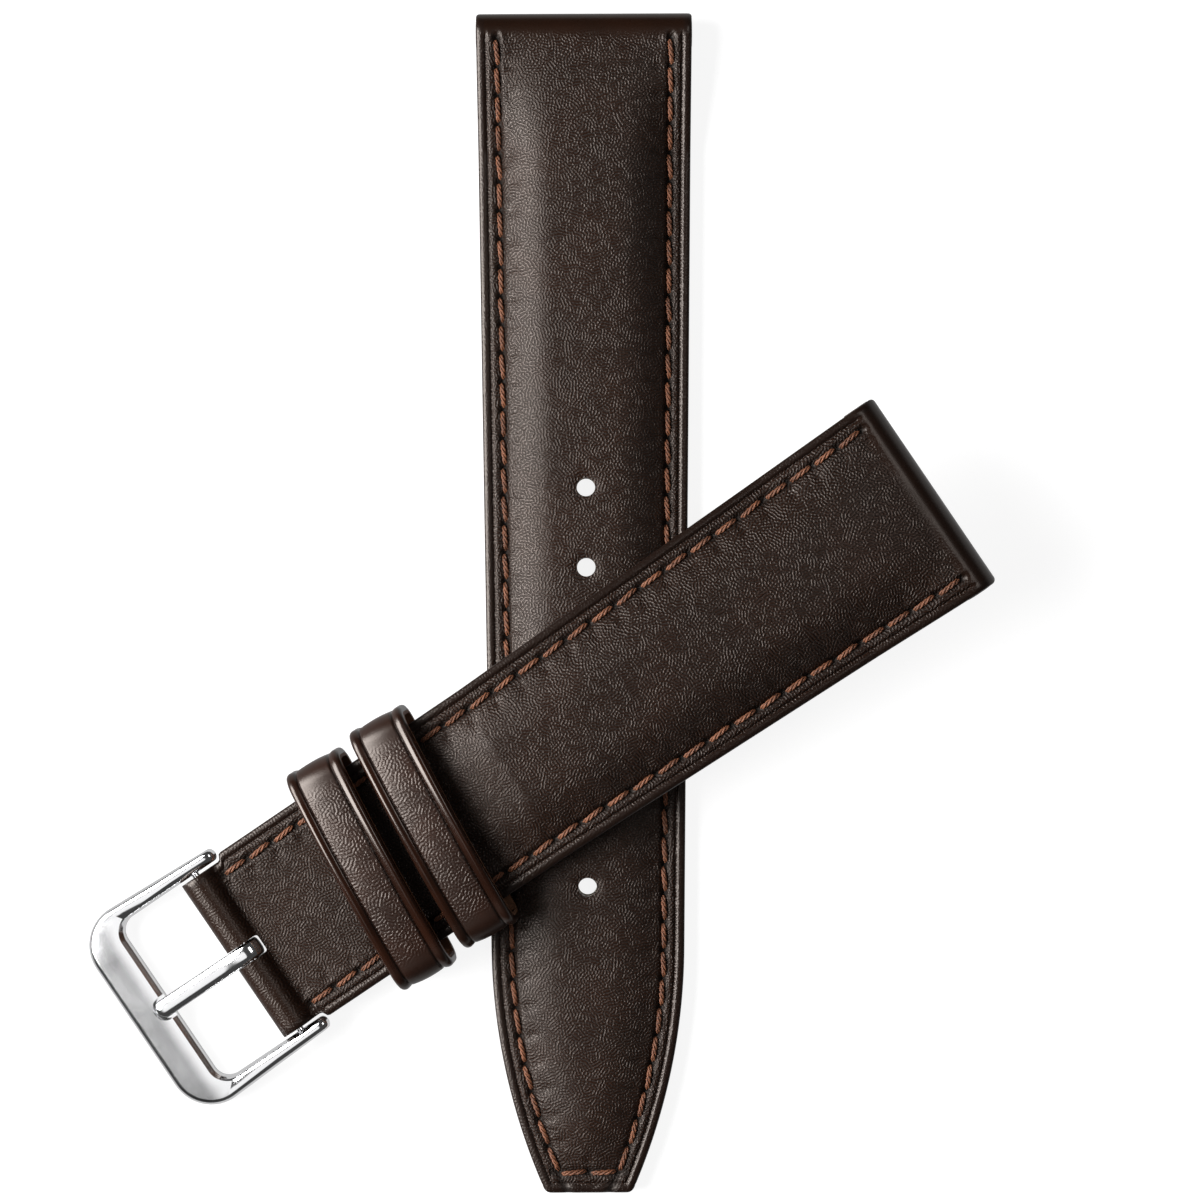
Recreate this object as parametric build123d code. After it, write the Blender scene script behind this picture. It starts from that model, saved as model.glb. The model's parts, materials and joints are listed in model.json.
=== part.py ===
from build123d import *
from math import asin, atan2, cos, degrees, radians, sin, sqrt
import os

# Two-piece padded leather watch strap, laid crossed: the buckle half over the hole half.
# Each half is drawn lug end at y = 0, running towards -Y, with its underside at z = 0.

# Lug ends
lug_width = 22.0
spring_bar_hole_radius = 1.0
lug_barrel_radius = 2.05
lug_turn_length = 14.0

# Leather layers
face_thickness = 1.0
lining_thickness = 0.9
lining_start = 3.0
loop_thickness = 0.35
loop_tail_length = 9.0
loop_tail_width = 15.0
cut_overrun = 1.0

# Raised padding
margin_width = 2.6
shoulder_width = 3.2
shoulder_fall = 0.3
pad_start = 4.5
pad_ramp = 4.5

# Hole half
long_length = 120.3
tail_curve_length = 24.9
long_taper_width = 19.7
long_tip_width = 8.8
tip_corner_radius = 1.0
long_crown_at_lug = 4.5
long_crown_at_tail = 3.0
long_crown_at_tip = 2.7
long_pad_end_gap = 3.0
hole_count = 6
hole_radius = 0.95
first_hole = 48.3
hole_pitch = 8.14

# Buckle half
buckle_end_width = 20.0
short_length = 85.8
parallel_length = 34.8
short_crown_at_lug = 4.4
short_crown_at_taper = 3.7
flat_end_length = 28.8
tab_length = 5.0
tab_width = 18.6
fold_radius = 1.8
return_tail_length = 7.0
slot_width = 2.6
slot_reach = 2.1

# Stitching and creases
stitch_inset = 2.1
stitch_pitch = 2.9
stitch_length = 2.3
stitch_width = 0.56
stitch_height = 0.5
stitch_groove_width = 0.7
stitch_groove_depth = 0.28
stitch_start = 2.7
stitch_end_gap = 0.7
under_stitch_height = 0.24
crease_inset = 0.95
crease_width = 0.24
crease_depth = 0.16

# Keepers
keeper_band = 6.0
keeper_inner_half_width = 11.35
keeper_leather = 0.55
keeper_lining = 0.35
keeper_bead_width = 1.1
keeper_bead_height = 0.15
keeper_side_height = 4.1
keeper_bow = 0.75
keeper_corner_radius = 1.2
keeper_foot_radius = 0.6
keeper_skew = -5.5
keeper_slack = 0.1
floating_keeper_from_fold = 25.1
fixed_keeper_from_fold = 17.3

# Spring bar in the fold
bar_tube_radius = 0.75
bar_tube_bore_radius = 0.55
bar_tube_half_length = 9.25
bar_end_wall = 0.3
running_clearance = 0.05
pin_radius = 0.4
pin_reach = 10.3
pin_collar_radius = 0.5
pin_collar_length = 1.2
spring_wire_radius = 0.09
spring_coil_radius = 0.38
spring_turns = 9

# Buckle frame
window_half_width = 9.6
ear_half_width = 10.95
ear_reach = 3.0
ear_corner_radius = 0.6
ear_hole_end = 10.4
frame_half_width = 11.55
frame_half_thickness = 1.0
frame_shoulder = 8.9
frame_corner_radius = 4.4
frame_edge_round = 0.35
bar_inner_edge = 9.7
bar_outer_edge = 14.0
window_corner_radius = 0.9
window_bevel = 0.45
notch_width = 2.6
notch_reach = 11.45
notch_depth = 0.85

# Tongue
tongue_width = 1.9
tongue_root_thickness = 1.0
tongue_tip_thickness = 0.95
tongue_reach = 11.25
tongue_eye_radius = 1.6
tongue_edge_round = 0.25

# How the two halves lie
crossing_from_long_lug = 72.2
crossing_from_fold = 43.6
crossing_angle = 56.1
keeper_rest_gap = 0.12
keeper_rest_share = 0.37

# Sizes worked out from the ones above
margin_height = lining_thickness + face_thickness
long_taper_length = long_length - tail_curve_length
short_taper_length = short_length - parallel_length
short_pad_end = short_length - flat_end_length
tab_start = short_length - tab_length
floating_keeper_place = short_length - floating_keeper_from_fold
fixed_keeper_place = short_length - fixed_keeper_from_fold
crossing_from_short_lug = short_length - crossing_from_fold
pivot_from_lug = short_length - fold_radius
frame_drop = fold_radius - frame_half_thickness
keeper_wall = keeper_leather + keeper_lining
groove_half = stitch_groove_width / 2
crease_half = crease_width / 2


# Block across the strap between two distances from the lug end
def slab(width, start, end, low, high):
    middle = Pos(0, -(start + end) / 2, (low + high) / 2)
    return middle * Box(width, end - start, high - low)


# Round bar lying across the strap
def cross_bar(radius, length, place, height):
    return Pos(0, -place, height) * Rot(0, 90, 0) * Cylinder(radius, length)


# Solid across the strap from a side profile of (distance from lug, height) points
def side_prism(points, width):
    outline = [Vector(0, -place, height) for place, height in points]
    face = make_face(Polyline(*outline, close=True))
    return extrude(face, amount=width / 2, dir=(1, 0, 0), both=True)


# Solid between two heights above a plan
def plate(plan, low, high):
    return extrude(Pos(0, 0, low) * plan, amount=high - low, dir=(0, 0, 1))


# Height of the stitched margin, thickest where the leather is doubled at the lug
def margin_at(place):
    if place >= lug_turn_length:
        return margin_height
    share = (place - lug_barrel_radius) / (lug_turn_length - lug_barrel_radius)
    return 2 * lug_barrel_radius + (margin_height - 2 * lug_barrel_radius) * share


# One edge of the hole half from near the lug to the tip, moved in by an inset
def long_side(inset, start):
    lug = Vector(lug_width / 2, 0)
    shoulder = Vector(long_taper_width / 2, -long_taper_length)
    along = (shoulder - lug).normalized()
    inward = Vector(along.Y, -along.X)
    curve = TangentArc(shoulder, (long_tip_width / 2, -long_length), tangent=along)
    centre = curve.arc_center
    radius = curve.radius - inset
    end_y = inset - long_length
    end_x = centre.X + sqrt(radius**2 - (end_y - centre.Y) ** 2)
    first = lug + inward * inset + along * start
    second = shoulder + inward * inset
    middle = (second + Vector(end_x, end_y)) / 2 - centre
    bulge = centre + middle.normalized() * radius
    return Line(first, second), ThreePointArc(second, bulge, (end_x, end_y))


# Plan of the hole half, moved in from its edge and cut off near the lug
def long_plan(inset, start):
    line, curve = long_side(inset, start)
    near = line @ 0
    far = curve @ 1
    tip = Line(far, (-far.X, far.Y))
    end = Line((-near.X, near.Y), near)
    return make_face([line, curve, tip, mirror(line, Plane.YZ), mirror(curve, Plane.YZ), end])


# Half width of the hole half at a distance from its lug end
def long_half_width(place):
    if place <= long_taper_length:
        return (lug_width + (long_taper_width - lug_width) * place / long_taper_length) / 2
    line, curve = long_side(0, 0)
    centre = curve.arc_center
    return centre.X + sqrt(curve.radius**2 - (place + centre.Y) ** 2)


# Half width of the buckle half at a distance from its lug end
def short_half_width(place):
    share = min(place / short_taper_length, 1)
    return (lug_width + (buckle_end_width - lug_width) * share) / 2


# Plan of the buckle half up to its narrower tab, moved in from its edge
def short_plan(inset, start):
    right = [(short_half_width(spot) - inset, -spot) for spot in (start, short_taper_length)]
    right.append((short_half_width(tab_start) - inset, -tab_start))
    left = [(-x, y) for x, y in reversed(right)]
    return make_face(Polyline(*right, *left, close=True))


# Upright plane across the strap at a distance from the lug end
def section_plane(place):
    return Plane(origin=(0, -place, 0), x_dir=(1, 0, 0), z_dir=(0, -1, 0))


# Arched cross-section: flat floor, rounded shoulders and a slightly crowned top
def arch(place, half_width, foot, crown):
    fall = min(shoulder_fall, (crown - foot) / 2)
    rise = crown - fall - foot
    bend = 1 - cos(radians(45))
    reach = min(shoulder_width, half_width / 2)
    flat = half_width - reach
    shoulder = (half_width - bend * reach, foot + (1 - bend) * rise)
    right = ThreePointArc((half_width, foot), shoulder, (flat, foot + rise))
    top = ThreePointArc((flat, foot + rise), (0, crown), (-flat, foot + rise))
    left = mirror(right, Plane.YZ)
    base = Polyline(
        (-half_width, foot),
        (-half_width, lining_thickness),
        (half_width, lining_thickness),
        (half_width, foot),
    )
    return section_plane(place) * make_face([right, top, left, base])


# Raised middle of the face leather through stations of (distance from lug, crown)
def dome(stations, half_width_at):
    faces = []
    for place, crown in stations:
        half_width = half_width_at(place) - margin_width
        faces.append(arch(place, half_width, margin_at(place), crown))
    return loft(faces, ruled=True)


# Padding under the dome, one leather thickness inside it
def padding(stations, half_width_at):
    faces = []
    for place, crown in stations:
        half_width = half_width_at(place) - margin_width - face_thickness / 2
        foot = margin_at(place) - face_thickness + shoulder_fall / 4
        top = max(crown - face_thickness, foot + shoulder_fall / 4)
        faces.append(arch(place, half_width, foot, top))
    return loft(faces, ruled=True)


# Spring bar hole through the lug barrel
def lug_bore():
    length = lug_width + 2 * cut_overrun
    return cross_bar(spring_bar_hole_radius, length, lug_barrel_radius, lug_barrel_radius)


# Reinforcing strip wrapped round the lug spring bar hole, with its tail
def bar_loop():
    radius = spring_bar_hole_radius + loop_thickness
    tail_end = lug_barrel_radius + loop_tail_length
    tail_top = lining_thickness + loop_thickness
    tube = cross_bar(radius, lug_width, lug_barrel_radius, lug_barrel_radius)
    tail = slab(loop_tail_width, lug_barrel_radius, tail_end, lining_thickness, tail_top)
    return tube + tail - lug_bore()


# Barrel of face leather turned round the lug hole, and the doubled leather behind it
def lug_turn(plan):
    barrel = cross_bar(lug_barrel_radius, lug_width, lug_barrel_radius, lug_barrel_radius)
    wedge = [
        (lug_barrel_radius, lining_thickness),
        (lug_turn_length, lining_thickness),
        (lug_turn_length, margin_height),
        (lug_barrel_radius, 2 * lug_barrel_radius),
    ]
    return barrel + (side_prism(wedge, lug_width) & plate(plan, 0, 3 * lug_barrel_radius))


# Everything from a given depth under the margin's surface upwards
def above_margin(depth, length):
    top = 3 * lug_barrel_radius
    points = [
        (lug_barrel_radius, 2 * lug_barrel_radius - depth),
        (lug_turn_length, margin_height - depth),
        (length + cut_overrun, margin_height - depth),
        (length + cut_overrun, top),
        (lug_barrel_radius, top),
    ]
    return side_prism(points, lug_width)


# Strip of a plan that follows the edge at an inset
def edge_strip(plan_at, inset, half, start):
    return plan_at(inset - half, start) - plan_at(inset + half, start)


# Stitch groove and edge crease in the top of the face leather
def margin_cuts(plan_at, length):
    top = 3 * lug_barrel_radius
    groove = plate(edge_strip(plan_at, stitch_inset, groove_half, stitch_start), 0, top)
    crease = plate(edge_strip(plan_at, crease_inset, crease_half, stitch_start), 0, top)
    return [
        groove & above_margin(stitch_groove_depth, length),
        crease & above_margin(crease_depth, length),
    ]


# Groove in the underside that the lower thread lies in
def under_groove(plan_at):
    start = max(stitch_start, lining_start)
    groove = edge_strip(plan_at, stitch_inset, groove_half, start)
    return plate(groove, -cut_overrun, stitch_groove_depth)


# Buckle pin holes down the middle of the hole half
def pin_holes():
    depth = 2 * long_crown_at_lug
    hole = Cylinder(hole_radius, 2 * depth)
    return [Pos(0, -(first_hole + index * hole_pitch), 0) * hole for index in range(hole_count)]


# Upper stitch: a short bar with bevelled top edges, standing on the groove floor
def top_stitch():
    bar = Pos(0, 0, stitch_height / 2) * Box(stitch_width, stitch_length, stitch_height)
    return chamfer(bar.faces().sort_by(Axis.Z)[-1].edges(), stitch_width / 4)


# Lower stitch, flush in its groove
def under_stitch():
    bar = Box(stitch_width, stitch_length, under_stitch_height)
    return Pos(0, 0, stitch_groove_depth - under_stitch_height / 2) * bar


# Copies of the upper stitch along a path, sloping with the margin
def top_row(path):
    piece = top_stitch()
    copies = []
    for spot, turn in row_places(path):
        ends = [margin_at(sign * stitch_length / 2 - spot.Y) for sign in (-1, 1)]
        floor = sum(ends) / 2 - stitch_groove_depth
        fall = degrees(atan2(ends[1] - ends[0], stitch_length))
        copies.append(Pos(spot.X, spot.Y, floor) * Rot(0, 0, turn) * Rot(fall, 0, 0) * piece)
    return copies


# Copies of the lower stitch along a path
def under_row(path):
    piece = under_stitch()
    return [Pos(spot.X, spot.Y, 0) * Rot(0, 0, turn) * piece for spot, turn in row_places(path)]


# Where the stitches of a row stand, and how each is turned from +Y
def row_places(path):
    count = int(path.length / stitch_pitch)
    places = []
    for index in range(count):
        share = (index + 1 / 2) / count
        way = path.tangent_at(share)
        places.append((path.position_at(share), degrees(atan2(way.Y, way.X)) - 90))
    return places


# A path and its mirror image on the strap's other side
def both_sides(edges):
    return [Wire(edges), Wire([mirror(edge, Plane.YZ).edges()[0] for edge in edges])]


# Stitch rows of the hole half: both sides and across the tip
def long_rows():
    line, curve = long_side(stitch_inset, stitch_start)
    far = curve @ 1
    across = Line((-far.X, far.Y), (far.X, far.Y))
    return [*both_sides([line, curve]), across]


# Stitch rows of the buckle half, one along each side
def short_rows():
    spots = (stitch_start, short_taper_length, tab_start - stitch_end_gap)
    points = [(short_half_width(spot) - stitch_inset, -spot) for spot in spots]
    return both_sides(Polyline(*points).edges())


# The hole half's leather, padding and thread
def long_half():
    plan = long_plan(0, lug_barrel_radius)
    tip = plan.vertices().sort_by(Axis.Y)[:2]
    plan = fillet(tip, tip_corner_radius)
    pad_end = long_length - long_pad_end_gap
    middle = [
        (lug_turn_length, long_crown_at_lug),
        (long_taper_length, long_crown_at_tail),
        (pad_end - pad_ramp, long_crown_at_tip),
    ]
    start = (1.5 * lug_barrel_radius, 2 * lug_barrel_radius)
    end_crown = margin_height + shoulder_fall
    raised = dome([start, *middle, (pad_end, end_crown)], long_half_width)
    fill = padding(
        [(pad_start, 2 * lug_barrel_radius), *middle, (pad_end - pad_ramp / 2, long_crown_at_tip)],
        long_half_width,
    )
    loop = bar_loop()
    holes = pin_holes()
    face = plate(plan, lining_thickness, margin_height) + raised + lug_turn(plan)
    face -= [fill, loop, lug_bore(), *holes, *margin_cuts(long_plan, long_length)]
    lining_plan = fillet(
        long_plan(0, lining_start).vertices().sort_by(Axis.Y)[:2], tip_corner_radius
    )
    barrel = cross_bar(lug_barrel_radius, lug_width, lug_barrel_radius, lug_barrel_radius)
    lining = plate(lining_plan, 0, lining_thickness)
    lining -= [barrel, under_groove(long_plan), *holes]
    return {
        "long_face_leather": face,
        "long_padding": fill - [loop, *holes],
        "long_lining": lining,
        "long_bar_loop": loop,
        "long_top_thread": Compound([copy for row in long_rows() for copy in top_row(row)]),
        "long_under_thread": Compound([copy for row in long_rows() for copy in under_row(row)]),
    }


# Tab of face leather folded round the buckle's spring bar, slotted for the tongue
def buckle_fold():
    ramp = [
        (tab_start, 0),
        (tab_start, margin_height),
        (pivot_from_lug, 2 * fold_radius),
        (pivot_from_lug, 0),
    ]
    tail_start = tab_start - return_tail_length
    tab = side_prism(ramp, tab_width) + cross_bar(fold_radius, tab_width, pivot_from_lug, fold_radius)
    return tab + slab(buckle_end_width, tail_start, tab_start, 0, margin_height)


# Slot for the tongue and hole for the spring bar, cut out of the fold
def fold_cuts():
    round_centre = pivot_from_lug - slot_reach + slot_width / 2
    high = 4 * fold_radius
    slot = slab(slot_width, round_centre, short_length + cut_overrun, -high, high)
    end = Pos(0, -round_centre, 0) * Cylinder(slot_width / 2, 2 * high)
    hole_length = tab_width + 2 * cut_overrun
    hole = cross_bar(bar_tube_radius + running_clearance, hole_length, pivot_from_lug, fold_radius)
    return [slot, end, hole]


# The buckle half's leather, padding and thread
def short_half():
    plan = short_plan(0, lug_barrel_radius)
    middle = [
        (lug_turn_length, short_crown_at_lug),
        (short_taper_length, short_crown_at_taper),
    ]
    start = (1.5 * lug_barrel_radius, 2 * lug_barrel_radius)
    end = (short_pad_end, margin_height + shoulder_fall)
    raised = dome([start, *middle, end], short_half_width)
    fill_end = (short_pad_end - face_thickness, margin_height + face_thickness / 2)
    fill = padding([(pad_start, 2 * lug_barrel_radius), *middle, fill_end], short_half_width)
    loop = bar_loop()
    face = plate(plan, lining_thickness, margin_height) + raised + lug_turn(plan) + buckle_fold()
    groove = under_groove(short_plan)
    cuts = [fill, loop, lug_bore(), groove, *margin_cuts(short_plan, tab_start), *fold_cuts()]
    face -= cuts
    tail_start = tab_start - return_tail_length
    barrel = cross_bar(lug_barrel_radius, lug_width, lug_barrel_radius, lug_barrel_radius)
    lining = plate(short_plan(0, lining_start), 0, lining_thickness)
    lining -= [barrel, groove, slab(lug_width, tail_start, short_length, 0, lining_thickness)]
    return {
        "short_face_leather": face,
        "short_padding": fill - loop,
        "short_lining": lining,
        "short_bar_loop": loop,
        "short_top_thread": Compound([copy for row in short_rows() for copy in top_row(row)]),
        "short_under_thread": Compound([copy for row in short_rows() for copy in under_row(row)]),
    }


# Closed outline of a keeper's opening, grown outwards by some thickness
def keeper_outline(grow, slack):
    half = keeper_inner_half_width + grow
    low = -slack - grow
    side = keeper_side_height + grow
    base = Polyline((-half, side), (-half, low), (half, low), (half, side))
    bow = ThreePointArc((half, side), (0, side + keeper_bow), (-half, side))
    face = make_face([base, bow])
    corners = face.vertices().sort_by(Axis.Y)
    face = fillet(corners[:2], keeper_foot_radius + grow)
    corners = face.vertices().sort_by(Axis.Y)
    return fillet(corners[-2:], keeper_corner_radius + grow)


# Ring between two growths of the keeper outline, over part of the band's width
def keeper_ring(inner, outer, start, end, slack):
    band = keeper_outline(outer, slack) - keeper_outline(inner, slack)
    return extrude(section_plane(start) * band, amount=end - start, dir=(0, -1, 0))


# Keeper strip with a raised bead along each edge, and the thin leather inside it
def keeper(place, slack):
    start = place - keeper_band / 2
    end = place + keeper_band / 2
    bead = keeper_wall + keeper_bead_height
    strip = keeper_ring(keeper_lining, keeper_wall, start, end, slack)
    strip += keeper_ring(keeper_wall, bead, start, start + keeper_bead_width, slack)
    strip += keeper_ring(keeper_wall, bead, end - keeper_bead_width, end, slack)
    inside = keeper_ring(0, keeper_lining, start, end, slack)
    skew = Pos(0, -place, 0) * Rot(0, 0, keeper_skew) * Pos(0, place, 0)
    return skew * strip, skew * inside


# Everything round the buckle's axis is drawn about the origin, then moved there
def at_pivot(shape):
    return Pos(0, -pivot_from_lug, fold_radius) * shape


# Spring bar: crimped tube, coil spring and two sprung pins
def spring_bar():
    inner_half = bar_tube_half_length - bar_end_wall
    tube = Rot(0, 90, 0) * Cylinder(bar_tube_radius, 2 * bar_tube_half_length)
    tube -= Rot(0, 90, 0) * Cylinder(bar_tube_bore_radius, 2 * inner_half)
    tube -= Rot(0, 90, 0) * Cylinder(pin_radius + running_clearance, 3 * bar_tube_half_length)
    collar_end = inner_half - running_clearance
    collar_start = collar_end - pin_collar_length
    collar = Cylinder(pin_collar_radius, pin_collar_length)
    collar = Pos((collar_start + collar_end) / 2, 0, 0) * Rot(0, 90, 0) * collar
    stem = Cylinder(pin_radius, pin_reach - collar_end)
    stem = Pos((pin_reach + collar_end) / 2, 0, 0) * Rot(0, 90, 0) * stem
    pin = collar + stem
    spring_half = collar_start - spring_wire_radius - running_clearance
    pitch = 2 * spring_half / spring_turns
    path = Helix(pitch, 2 * spring_half, spring_coil_radius)
    wire = Plane(origin=path @ 0, z_dir=path % 0) * Circle(spring_wire_radius)
    spring = Pos(-spring_half, 0, 0) * Rot(0, 90, 0) * sweep(wire, path=path, is_frenet=True)
    return {
        "spring_bar_tube": at_pivot(tube),
        "spring_bar_spring": at_pivot(spring),
        "spring_bar_pin_right": at_pivot(pin),
        "spring_bar_pin_left": at_pivot(mirror(pin, Plane.YZ)),
    }


# Plan of the buckle frame: two ears, two arms and the front bar
def frame_plan():
    right = [
        (ear_half_width, ear_reach),
        (frame_half_width, -frame_shoulder),
        (frame_half_width, -bar_outer_edge),
    ]
    left = [(-x, y) for x, y in reversed(right)]
    outer = make_face(Polyline(*right, *left, close=True))
    outer = fillet(outer.vertices().sort_by(Axis.Y)[:2], frame_corner_radius)
    top = ear_reach + cut_overrun
    window = Pos(0, (top - bar_inner_edge) / 2) * Rectangle(2 * window_half_width, top + bar_inner_edge)
    window = fillet(window.vertices().sort_by(Axis.Y)[:2], window_corner_radius)
    plan = outer - window
    return fillet(plan.vertices().sort_by(Axis.Y)[-4:], ear_corner_radius)


# Edges of a face that lie outside the window's bar edge
def outer_edges(face):
    limit = bar_inner_edge + window_bevel + running_clearance
    return [
        edge
        for edge in face.edges()
        if abs(edge.center().X) > window_half_width - window_corner_radius
        or abs(edge.center().Y) > limit
    ]


# Buckle frame with rounded edges, blind spring bar holes and the tongue's notch
def buckle_frame():
    frame = plate(frame_plan(), -frame_half_thickness, frame_half_thickness)
    level = frame.faces().sort_by(Axis.Z)
    bevelled = [
        edge
        for edge in level[-1].edges()
        if abs(edge.center().Y + bar_inner_edge) < running_clearance
    ]
    frame = chamfer(bevelled, window_bevel)
    frame = fillet(frame.faces().sort_by(Axis.Z)[0].edges(), frame_edge_round)
    frame = fillet(outer_edges(frame.faces().sort_by(Axis.Z)[-1]), frame_edge_round)
    frame -= Rot(0, 90, 0) * Cylinder(pin_radius + running_clearance, 2 * ear_hole_end)
    return frame - tongue_notch()


# Round-ended recess in the bar's top that the tongue's tip rests in
def tongue_notch():
    half = notch_width / 2
    floor = frame_half_thickness - notch_depth
    top = frame_half_thickness + cut_overrun
    round_centre = notch_reach - half
    end = Pos(0, -round_centre, (floor + top) / 2) * Cylinder(half, top - floor)
    return end + slab(notch_width, bar_inner_edge - cut_overrun, round_centre, floor, top)


# Tongue: an eye round the spring bar and a tapered prong with a rounded tip
def tongue():
    tip_low = frame_half_thickness - notch_depth + running_clearance
    profile = [
        (0, tongue_eye_radius),
        (tongue_reach, tip_low + tongue_tip_thickness),
        (tongue_reach, tip_low),
        (0, tongue_eye_radius - tongue_root_thickness),
    ]
    half = tongue_width / 2
    tip_centre = tongue_reach - half
    high = 2 * tongue_eye_radius
    tip = Pos(0, -tip_centre, 0) * Cylinder(half, 2 * high)
    plan = tip + slab(tongue_width, -high, tip_centre, -high, high)
    prong = side_prism(profile, tongue_width) & plan
    prong = fillet(prong.faces().sort_by(Axis.Z)[-1].edges(), tongue_edge_round)
    eye = Rot(0, 90, 0) * Cylinder(tongue_eye_radius, tongue_width)
    hole = Rot(0, 90, 0) * Cylinder(bar_tube_radius + running_clearance, 2 * tongue_width)
    return prong + eye - hole


# Parts of the buckle half in its own flat frame
def buckle_half():
    nodes = short_half()
    fixed, fixed_inside = keeper(fixed_keeper_place, 0)
    floating, floating_inside = keeper(floating_keeper_place, keeper_slack)
    nodes["fixed_keeper"] = fixed
    nodes["fixed_keeper_lining"] = fixed_inside
    nodes["floating_keeper"] = floating
    nodes["floating_keeper_lining"] = floating_inside
    nodes.update(spring_bar())
    nodes["buckle_frame"] = at_pivot(buckle_frame())
    nodes["buckle_tongue"] = at_pivot(tongue())
    return nodes


# Lean of the buckle half: its bar touches the table and its floating keeper's
# lower corner stands just above the hole half's shoulder
def lean_angle():
    corner = floating_keeper_place - keeper_band / 2
    corner -= keeper_inner_half_width * sin(radians(keeper_skew))
    long_place = crossing_from_long_lug
    long_place += (corner - crossing_from_short_lug) * cos(radians(crossing_angle))
    fall_share = long_place / long_taper_length
    crown = long_crown_at_lug + (long_crown_at_tail - long_crown_at_lug) * fall_share
    shoulder = margin_height + (crown - margin_height) * keeper_rest_share
    under_keeper = keeper_slack + keeper_wall + keeper_bead_height
    height = shoulder + keeper_rest_gap + under_keeper + frame_drop
    return degrees(asin(height / (pivot_from_lug + bar_outer_edge - corner)))


# Where the buckle half's own frame lies over the hole half
def short_place():
    lean = lean_angle()
    reach = pivot_from_lug + bar_outer_edge - crossing_from_short_lug
    rise = reach * sin(radians(lean)) - frame_drop * cos(radians(lean))
    turn = Rot(0, 0, -crossing_angle) * Rot(lean, 0, 0)
    return Pos(0, 0, rise) * turn * Pos(0, crossing_from_short_lug, 0)


def assembly():
    long_at = Pos(0, crossing_from_long_lug, 0)
    short_at = short_place()
    nodes = {name: long_at * shape for name, shape in long_half().items()}
    nodes.update({name: short_at * shape for name, shape in buckle_half().items()})
    box = Compound(list(nodes.values())).bounding_box()
    centre = Pos(-box.center().X, -box.center().Y, -box.min.Z)
    return {name: centre * shape for name, shape in nodes.items()}, centre * long_at, centre * short_at


# Reference points in the finished frame, for joints and mounts
def print_points(long_at, short_at):
    lug = (0, -lug_barrel_radius, lug_barrel_radius)
    pivot = (0, -pivot_from_lug, fold_radius)
    print("lean", round(lean_angle(), 4))
    for name, place, point in [
        ("long_lug", long_at, lug),
        ("short_lug", short_at, lug),
        ("pivot", short_at, pivot),
    ]:
        print(name, [round(value, 4) for value in (place * Pos(point)).position])
    axes = Plane(short_at)
    for name, axis in [("across", axes.x_dir), ("along", axes.y_dir), ("up", axes.z_dir)]:
        print("short", name, [round(value, 6) for value in axis])


def main():
    os.makedirs("parts", exist_ok=True)
    nodes, long_at, short_at = assembly()
    for name, shape in nodes.items():
        export_step(shape, f"parts/{name}.step")
    print_points(long_at, short_at)
    box = Compound(list(nodes.values())).bounding_box()
    print("size", [round(value, 3) for value in box.size])


main()
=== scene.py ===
import bmesh
import bpy
import json
import math
import numpy as np
from mathutils import Matrix, Vector


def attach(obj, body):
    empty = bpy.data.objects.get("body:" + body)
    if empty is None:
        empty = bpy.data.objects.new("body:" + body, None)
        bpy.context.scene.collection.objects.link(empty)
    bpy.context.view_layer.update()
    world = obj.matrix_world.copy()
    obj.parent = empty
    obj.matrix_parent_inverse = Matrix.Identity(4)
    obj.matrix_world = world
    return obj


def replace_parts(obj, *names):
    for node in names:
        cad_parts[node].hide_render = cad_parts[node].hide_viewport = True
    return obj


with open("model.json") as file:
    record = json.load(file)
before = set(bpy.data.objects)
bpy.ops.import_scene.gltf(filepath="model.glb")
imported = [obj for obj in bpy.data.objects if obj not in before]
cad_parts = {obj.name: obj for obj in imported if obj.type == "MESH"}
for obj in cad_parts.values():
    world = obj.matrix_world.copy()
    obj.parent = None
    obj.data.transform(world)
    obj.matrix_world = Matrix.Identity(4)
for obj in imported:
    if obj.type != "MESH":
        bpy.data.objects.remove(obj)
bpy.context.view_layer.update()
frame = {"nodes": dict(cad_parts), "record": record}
record = frame["record"]
mounts = {mount["name"]: mount for mount in record["mounts"]}
joints = {joint["name"]: joint for joint in record["behaviour"]["joints"]}
metresPerMm = 0.001
print("frame loaded:", len(frame["nodes"]), "nodes")


# Shader and geometry nodes

class Tap:  # one output of a node, with arithmetic that adds Math nodes
    def __init__(self, sheet, socket):
        self.sheet = sheet
        self.socket = socket

    def other(self, name):  # another output of the same node
        return Tap(self.sheet, self.socket.node.outputs[name])

    def maths(self, operation, first, second=0.0):
        return self.sheet.add("ShaderNodeMath", {"operation": operation}, {0: first, 1: second})

    def __add__(self, value):
        return self.maths("ADD", self, value)

    def __sub__(self, value):
        return self.maths("SUBTRACT", self, value)

    def __rsub__(self, value):
        return self.maths("SUBTRACT", value, self)

    def __mul__(self, value):
        return self.maths("MULTIPLY", self, value)

    def __truediv__(self, value):
        return self.maths("DIVIDE", self, value)

    def __pow__(self, value):
        return self.maths("POWER", self, value)

    def __abs__(self):
        return self.maths("ABSOLUTE", self)

    def sine(self):
        return self.maths("SINE", self)

    def ramp(self, low, high):  # 0 below low, 1 above high, smooth between
        limits = {"Value": self, "From Min": low, "From Max": high}
        return self.sheet.add("ShaderNodeMapRange", {"interpolation_type": "SMOOTHSTEP"}, limits)

    __radd__ = __add__
    __rmul__ = __mul__


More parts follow.
